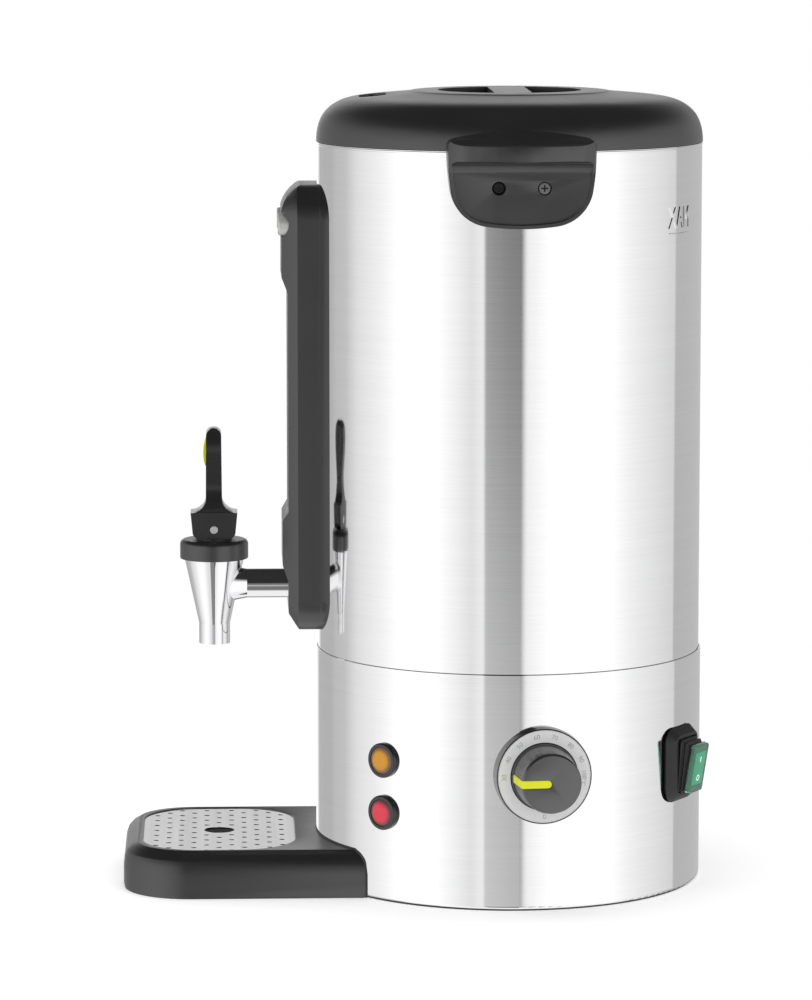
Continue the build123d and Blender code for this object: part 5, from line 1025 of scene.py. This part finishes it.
@dataclass
class Dial(Group):
    """Thermostat's dial with its printed numbers, each at its angle anticlockwise from the right."""

    coats: tuple[Coat, ...] = (
        Coat(Paint.GLOSS, ("dial_bezel",), edge=0.4),
        Coat(Paint.KNOB, ("dial_knob",), edge=0.5, limit=20.0),
        Coat(Paint.YELLOW, ("knob_pointer",), edge=0.25),
        Coat(Paint.SCREW, ("dial_shaft", "bush_nut")),
        Coat(Paint.WHITE, ("thermostat_body",)),
        Coat(Paint.BRASS, ("sensing_bulb",)),
    )
    panel: Panel = Panel(6.7, 80.3)
    face: float = 6.0
    ring: float = 23.5
    ring_colour: Colour = (0.93, 0.93, 0.94)
    ring_roughness: float = 0.45
    digit_height: float = 2.6
    stroke_thin: float = 0.018
    print_thickness: float = 0.06
    numbers: tuple[tuple[str, float], ...] = (
        ("30", 180.0), ("40", 154.0), ("50", 128.0), ("60", 101.0), ("70", 75.0), ("80", 49.0), ("90", 24.0),
        ("100°C", -4.0), ("0", -90.0),
    )

    def build_number(self, text: str, angle: float) -> None:
        """One printed number, bent round the ring with its top outwards.

        Args:
            text: What it says.
            angle: Where its middle is, anticlockwise from the right.
        """
        mesh, points = lettering(text, self.digit_height, self.print_thickness, thin=self.stroke_thin)
        turn = math.radians(angle) - points[:, 0] / self.ring
        reach = self.ring + points[:, 1]
        flat = np.stack((reach * np.cos(turn), reach * np.sin(turn), points[:, 2] + self.face), axis=-1)
        name = "number_" + "".join(sign for sign in text if sign.isalnum())
        self.shop.fit(lettered(name, mesh, self.panel.place(flat), 30.0), Paint.INK, "dial_scale_ring")

    def build(self) -> None:
        """Paints the dial and prints its numbers."""
        super().build()
        silver = Turned(
            "silver_ring", self.ring_colour, self.ring_roughness, metallic=0.05, contrast=0.1,
            centre=self.panel.proud(self.face),
        )
        self.shop.apply(Coat(silver, ("dial_scale_ring",)))
        for text, angle in self.numbers:
            self.build_number(text, angle)


@dataclass(frozen=True)
class Lamp:
    """One signal lamp, whose lens has facets where they have a depth."""

    node: str
    height: float
    colour: Colour
    # rim: colour of the painted shade near the bezel
    rim: Colour
    facet: float = 0.0


@dataclass
class Lamps(Group):
    """Two signal lamps."""

    coats: tuple[Coat, ...] = (
        Coat(Paint.GLOSS, ("lamp_bezels",), edge=0.5),
        Coat(Paint.WHITE, ("lamp_bodies",)),
    )
    lamps: tuple[Lamp, ...] = (
        Lamp("amber_lens", 84.1, (0.8, 0.36, 0.015), (0.16, 0.08, 0.05), 0.16),
        Lamp("red_lens", 53.2, (0.7, 0.03, 0.06), (0.11, 0.04, 0.045)),
    )
    azimuth: float = -42.2
    radius: float = 7.95
    foot: float = 1.2
    top: float = 4.9
    crown: float = 2.6
    pitch: float = 1.5
    plain_rim: float = 0.4
    rings: int = 56
    steps: int = 144
    glow: float = 0.22
    roughness: float = 0.3

    def finish(self, lamp: Lamp, panel: Panel) -> Lens:
        """Finish of a lamp's lens, about the lens's own centre on its panel."""
        return Lens(
            lamp.node, lamp.colour, self.roughness, coat=0.15, glow=self.glow, mottle=0.1, mottle_scale=160.0,
            centre=panel.proud(self.top), right=tuple(float(part) for part in panel.axes[0]), rim=lamp.rim,
            pitch=self.pitch * MM if lamp.facet else 0.0,
        )

    def build_lens(self, lamp: Lamp) -> None:
        """Domed lens: a spherical crown less, where it is faceted, two crossed triangle waves, on a skirt.

        Args:
            lamp: The lamp that it belongs to.
        """
        panel = Panel(self.azimuth, lamp.height)
        radii = np.linspace(self.radius, 0.0, self.rings)[:, None]
        turn = full_turn(self.steps)
        x, y = radii * np.cos(turn), radii * np.sin(turn)
        dome = self.top - self.crown * (radii / self.radius) ** 2
        waves = sum(np.abs(np.mod(slope / self.pitch, 1.0) - 0.5) for slope in (x + y, x - y))
        fade = np.clip((self.radius - self.plain_rim - radii) / self.plain_rim, 0.0, 1.0)
        crown = np.stack((x, y, dome - lamp.facet * 2.0 * waves * fade), axis=-1)
        skirt = np.stack((x[:1], y[:1], np.full_like(x[:1], self.foot)), axis=-1)
        grid = np.concatenate((skirt * (0, 0, 1), skirt, crown))
        quads = grid_quads(len(grid), self.steps)
        lens = piece(f"{lamp.node}_dome", panel.place(grid), quads, 60.0 if lamp.facet else 80.0)
        self.shop.fit(lens, self.finish(lamp, panel), lamp.node, [lamp.node])

    def build(self) -> None:
        """Paints the lamps and makes their lenses."""
        super().build()
        for lamp in self.lamps:
            self.build_lens(lamp)


@dataclass(frozen=True)
class Plate:
    """One rounded plate of the rocker. Its foot and top count from the cap's foot, and up is its shift."""

    name: str
    finish: Paint
    size: Pair
    corner: float
    foot: float
    top: float
    edge: float
    up: float = 0.0
    replaces: tuple[str, ...] = ()


@dataclass
class Switch(Group):
    """Sealed rocker switch: frame, bellows, clear cap over a green insert, and the on and off marks."""

    coats: tuple[Coat, ...] = (
        Coat(Paint.RUBBER, ("switch_frame",), edge=0.5),
        Coat(Paint.GLOSS, ("switch_body",)),
    )
    panel: Panel = Panel(57.9, 76.9)
    pivot: float = 1.6
    lean: float = 9.5
    drop: float = 0.3
    bellows_size: Pair = (22.0, 32.6)
    bellows_corner: float = 3.0
    bellows_foot: float = 3.2
    bellows_fixed: float = 2.0
    front: float = 8.8
    front_gap: float = 0.05
    ribs: int = 3
    rib_steps: int = 12
    rib_depth: float = 1.2
    rib_shrink: float = 0.55
    rib_power: float = 0.7
    plates: tuple[Plate, ...] = (
        Plate("rocker_cap", Paint.MINT, (17.2, 29.1), 1.8, 0.0, 3.2, 0.7, replaces=("switch_rocker",)),
        Plate("rocker_frame", Paint.FRAME_GREEN, (15.4, 27.2), 1.2, 0.2, 1.9, 0.2),
        Plate("rocker_insert", Paint.GREEN, (12.8, 19.8), 0.8, 1.7, 2.45, 0.3),
        Plate("on_mark", Paint.MARK, (0.6, 3.4), 0.25, 3.15, 3.26, 0.05, up=5.6),
    )
    ring_up: float = -5.6
    ring_rise: float = 3.2
    ring_radius: float = 1.5
    ring_section: Pair = (0.26, 0.07)
    ring_grid: tuple[int, int] = (9, 40)

    def from_pivot(self, grid: np.ndarray) -> np.ndarray:
        """Leans a grid that is laid out from the cap's middle over the pivot, and puts it on the body."""
        raised = grid + np.array([0.0, -self.drop, self.pivot])
        return self.panel.place(leaned(raised, self.lean, self.pivot))

    def build_bellows(self) -> None:
        """Rubber bellows: rings whose inset is a rounded zigzag of their height, and that lean more and more."""
        share = np.linspace(0.0, 1.0, self.ribs * self.rib_steps + 1)
        zigzag = 0.5 - 0.5 * np.cos(2.0 * math.pi * self.ribs * share)
        inset = self.rib_depth * zigzag**self.rib_power + self.rib_shrink * self.ribs * share
        rise = self.bellows_foot + share * (self.front + self.pivot - self.bellows_foot - self.front_gap)
        grid, quads = slab(self.bellows_size, self.bellows_corner, list(zip(inset, rise)))
        grid[1:-1, :, 1] -= self.drop * share[:, None]
        grid[-1, :, 1] = -self.drop
        lean = np.concatenate(([0.0], self.lean * share, [self.lean]))
        bellows = piece("switch_bellows", self.panel.place(leaned(grid, lean, self.pivot)), quads)
        self.shop.fit(bellows, Paint.RUBBER, "switch_frame", ["switch_boot"], rides=False)
        ends = np.array([[[0.0, 0.0, self.bellows_fixed]], [[0.0, 0.0, self.front]]])
        start, end = self.from_pivot(ends)[:, 0] * MM
        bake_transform(bellows)

    def build_plate(self, plate: Plate) -> None:
        """One plate of the rocker: a rounded slab with a soft top edge.

        Args:
            plate: Its sizes.
        """
        layers = soft_edge(self.front + plate.foot, self.front + plate.top, plate.edge)
        grid, quads = slab(plate.size, plate.corner, layers)
        points = self.from_pivot(grid + np.array([0.0, plate.up, 0.0]))
        self.shop.fit(piece(plate.name, points, quads), plate.finish, "switch_rocker", plate.replaces)

    def build_ring(self) -> None:
        """Off mark: a flattened ring, whose section is an ellipse carried round a circle."""
        rows, columns = self.ring_grid
        turn = full_turn(columns)
        section = np.linspace(0.0, 2.0 * math.pi, rows)[:, None]
        wide, proud = self.ring_section
        reach = self.ring_radius + wide * np.cos(section)
        height = np.broadcast_to(self.front + self.ring_rise + proud * np.sin(section), self.ring_grid)
        ring = np.stack((reach * np.cos(turn), reach * np.sin(turn) + self.ring_up, height), axis=-1)
        mark = piece("off_mark", self.from_pivot(ring), grid_quads(rows, columns))
        self.shop.fit(mark, Paint.MARK, "switch_rocker")

    def build(self) -> None:
        """Paints the fixed parts and builds the moving ones."""
        super().build()
        self.build_bellows()
        for plate in self.plates:
            self.build_plate(plate)
        self.build_ring()


# ---------------- studio
@dataclass
class Studio:
    """Pale floor, soft light and the camera. The ring gives the soft boxes' azimuths in degrees and levels."""

    camera_place: Triple = (2.835, -0.1684, 0.597)
    camera_forward: Triple = (-0.9908, 0.0375, -0.1298)
    camera_far: float = 50.0
    lens: float = 172.8
    sensor: float = 36.0
    soft_light: float = 0.78
    ring: tuple[Pair, ...] = (
        (-180.0, 1.08), (-168.0, 1.1), (-160.0, 0.5), (-136.0, 0.5), (-130.0, 0.57), (-118.0, 0.61),
        (-106.0, 0.84), (-85.0, 1.03), (-72.0, 1.2), (-47.0, 1.2), (-33.0, 0.99), (-25.0, 0.86), (-18.3, 0.98),
        (-17.7, 0.33), (-11.0, 0.29), (-4.0, 0.25), (4.6, 0.18), (5.8, 0.1), (7.9, 0.1), (8.3, 1.02),
        (18.0, 1.14), (22.0, 1.2), (60.0, 1.2), (73.0, 1.03), (83.0, 0.94), (109.0, 0.77), (114.6, 0.75),
        (115.2, 0.52), (166.0, 0.55), (174.0, 1.08), (180.0, 1.08),
    )
    ring_top: float = 1.5
    gap: Pair = (-18.0, 8.1)
    gap_blur: float = 0.2
    gap_lift: float = 0.34
    gap_fall: Pair = (-0.215, -0.05)
    gap_floor: Pair = (-0.42, -0.25)
    gap_fade: Pair = (0.0, 0.15)
    gap_loss: float = 0.85
    behind: Pair = (140.0, 165.0)
    behind_fall: Pair = (-0.5, -0.25)
    behind_loss: float = 0.7
    table_fall: Pair = (-0.9, -0.72)
    table_level: float = 1.05
    roof_rise: Pair = (0.16, 0.62)
    roof_level: float = 0.03
    floor_radius: float = 6.0
    floor_steps: int = 64
    floor_colour: Colour = (0.93, 0.93, 0.93)
    floor_light: float = 1.02
    floor_mottle: float = 8.0
    floor_glow: float = 0.3
    shadow_reach: Pair = (0.35, 0.9)
    ceiling_place: Triple = (0.3, -0.2, 2.2)
    ceiling_size: float = 1.6
    ceiling_power: float = 9.0

    def build_world(self) -> None:
        """White to the eye, even to the walls, and for gloss a ring of soft boxes round the horizon.

        The ring's level is a ramp over the azimuth. In the gap between the boxes it rises towards the floor and
        fades upwards, and low behind the urn it is dim. Overhead is a dark roof, and below a bright table.
        """
        world = bpy.data.worlds.new("studio")
        bpy.context.scene.world = world
        graph = Graph(world)
        x, y, z = graph.parts(graph.out(graph.add("ShaderNodeTexCoord"), "Generated"))
        azimuth = graph.math(MathOp.ARCTAN2, y, x) * (180.0 / math.pi)
        stops = [(0.5 + turn / 360.0, (level / self.ring_top,) * 3) for turn, level in self.ring]
        ramp = graph.add("ShaderNodeValToRGB", {"stops": stops}, {0: azimuth / 360.0 + 0.5})
        start, stop = (azimuth.ramp(edge - self.gap_blur, edge + self.gap_blur) for edge in self.gap)
        gap = start * (1.0 - stop)
        level = graph.out(ramp) * self.ring_top * (1.0 - gap * z.ramp(*self.gap_fade) * self.gap_loss)
        level = level + gap * (1.0 - z.ramp(*self.gap_fall)) * z.ramp(*self.gap_floor) * self.gap_lift
        behind = abs(azimuth).ramp(*self.behind) * (1.0 - z.ramp(*self.behind_fall))
        level = level * (1.0 - behind * self.behind_loss)
        low = 1.0 - z.ramp(*self.table_fall)
        high = z.ramp(*self.roof_rise)
        glossy = level * (1.0 - high) * (1.0 - low) + high * self.roof_level + low * self.table_level
        path = graph.add("ShaderNodeLightPath")
        shiny, eye, through = (graph.out(path, f"Is {ray} Ray") for ray in ("Glossy", "Camera", "Transmission"))
        seen = graph.math(MathOp.MAXIMUM, eye, through)
        even = self.soft_light * (1.0 - shiny) + glossy * shiny
        strength = even * (1.0 - seen) + seen
        inputs = {"Strength": strength, "Color": (1.0, 1.0, 1.0, 1.0)}
        graph.end("ShaderNodeOutputWorld", graph.add("ShaderNodeBackground", None, inputs))

    def build_floor(self) -> None:
        """Round floor that glows to the eye, with a faint shadow near the urn and plain white further off."""
        turn = full_turn(self.floor_steps)
        rim = np.stack((np.cos(turn), np.sin(turn), np.zeros(len(turn))), axis=-1) * (self.floor_radius / MM)
        floor = piece("floor", np.stack((rim, rim * 0.0)), grid_quads(2, self.floor_steps))
        material = bpy.data.materials.new("pale_floor")
        graph = Graph(material)
        place = graph.position()
        distance = graph.vector(VectorOp.LENGTH, place)
        cloud = graph.noise(place, self.floor_mottle)
        shade = graph.mix(cloud, self.floor_colour, tinted(self.floor_colour, self.floor_light))
        matt = graph.add("ShaderNodeBsdfDiffuse", None, {"Color": shade})
        seen = graph.out(graph.add("ShaderNodeLightPath"), "Is Camera Ray")
        faint = graph.add("ShaderNodeEmission", None, {"Strength": self.floor_glow})
        lit = graph.add("ShaderNodeAddShader", None, {0: graph.out(matt), 1: graph.out(faint)})
        near = graph.add("ShaderNodeMixShader", None, {0: seen, 1: graph.out(matt), 2: graph.out(lit)})
        glow = graph.add("ShaderNodeEmission", None, {"Strength": 1.0})
        factor = distance.ramp(*self.shadow_reach) * seen
        mixed = graph.add("ShaderNodeMixShader", None, {0: factor, 1: graph.out(near), 2: graph.out(glow)})
        graph.end("ShaderNodeOutputMaterial", mixed)
        floor.data.materials.append(material)
        floor.visible_glossy = False
        floor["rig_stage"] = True

    def build_light(self) -> None:
        """One large soft lamp overhead, for the shadow under the urn, which gloss doesn't mirror."""
        lamp = bpy.data.lights.new("ceiling", "AREA")
        lamp.shape = "DISK"
        lamp.size = self.ceiling_size
        lamp.energy = self.ceiling_power
        holder = linked("ceiling", lamp)
        holder.location = self.ceiling_place
        holder.visible_glossy = False

    def build_camera(self) -> None:
        """Long lens, level with the horizon and tilted a little down."""
        camera = bpy.data.cameras.new("camera")
        camera.lens = self.lens
        camera.sensor_width = self.sensor
        camera.clip_end = self.camera_far
        holder = linked("camera", camera)
        forward = Vector(self.camera_forward).normalized()
        right = forward.cross(Vector((0.0, 0.0, 1.0))).normalized()
        turn = Matrix((right, right.cross(forward), -forward)).transposed()
        holder.matrix_world = Matrix.Translation(self.camera_place) @ turn.to_4x4()
        bpy.context.scene.camera = holder

    def build(self) -> None:
        """Sets the stage."""
        bpy.context.scene.view_settings.view_transform = "Standard"
        self.build_world()
        self.build_floor()
        self.build_light()
        self.build_camera()


def main() -> None:
    """Builds the urn's groups in order, then the studio."""
    logging.basicConfig(level=logging.INFO, format="%(name)s: %(message)s")
    shop = Workshop()
    for kind in (Tank, Base, Lid, Handles, Gauge, Tap, Tray, Dial, Lamps, Switch):
        kind(shop).build()
        LOG.info("built %s", kind.__name__)
    Studio().build()


if __name__ == "__main__":
    main()
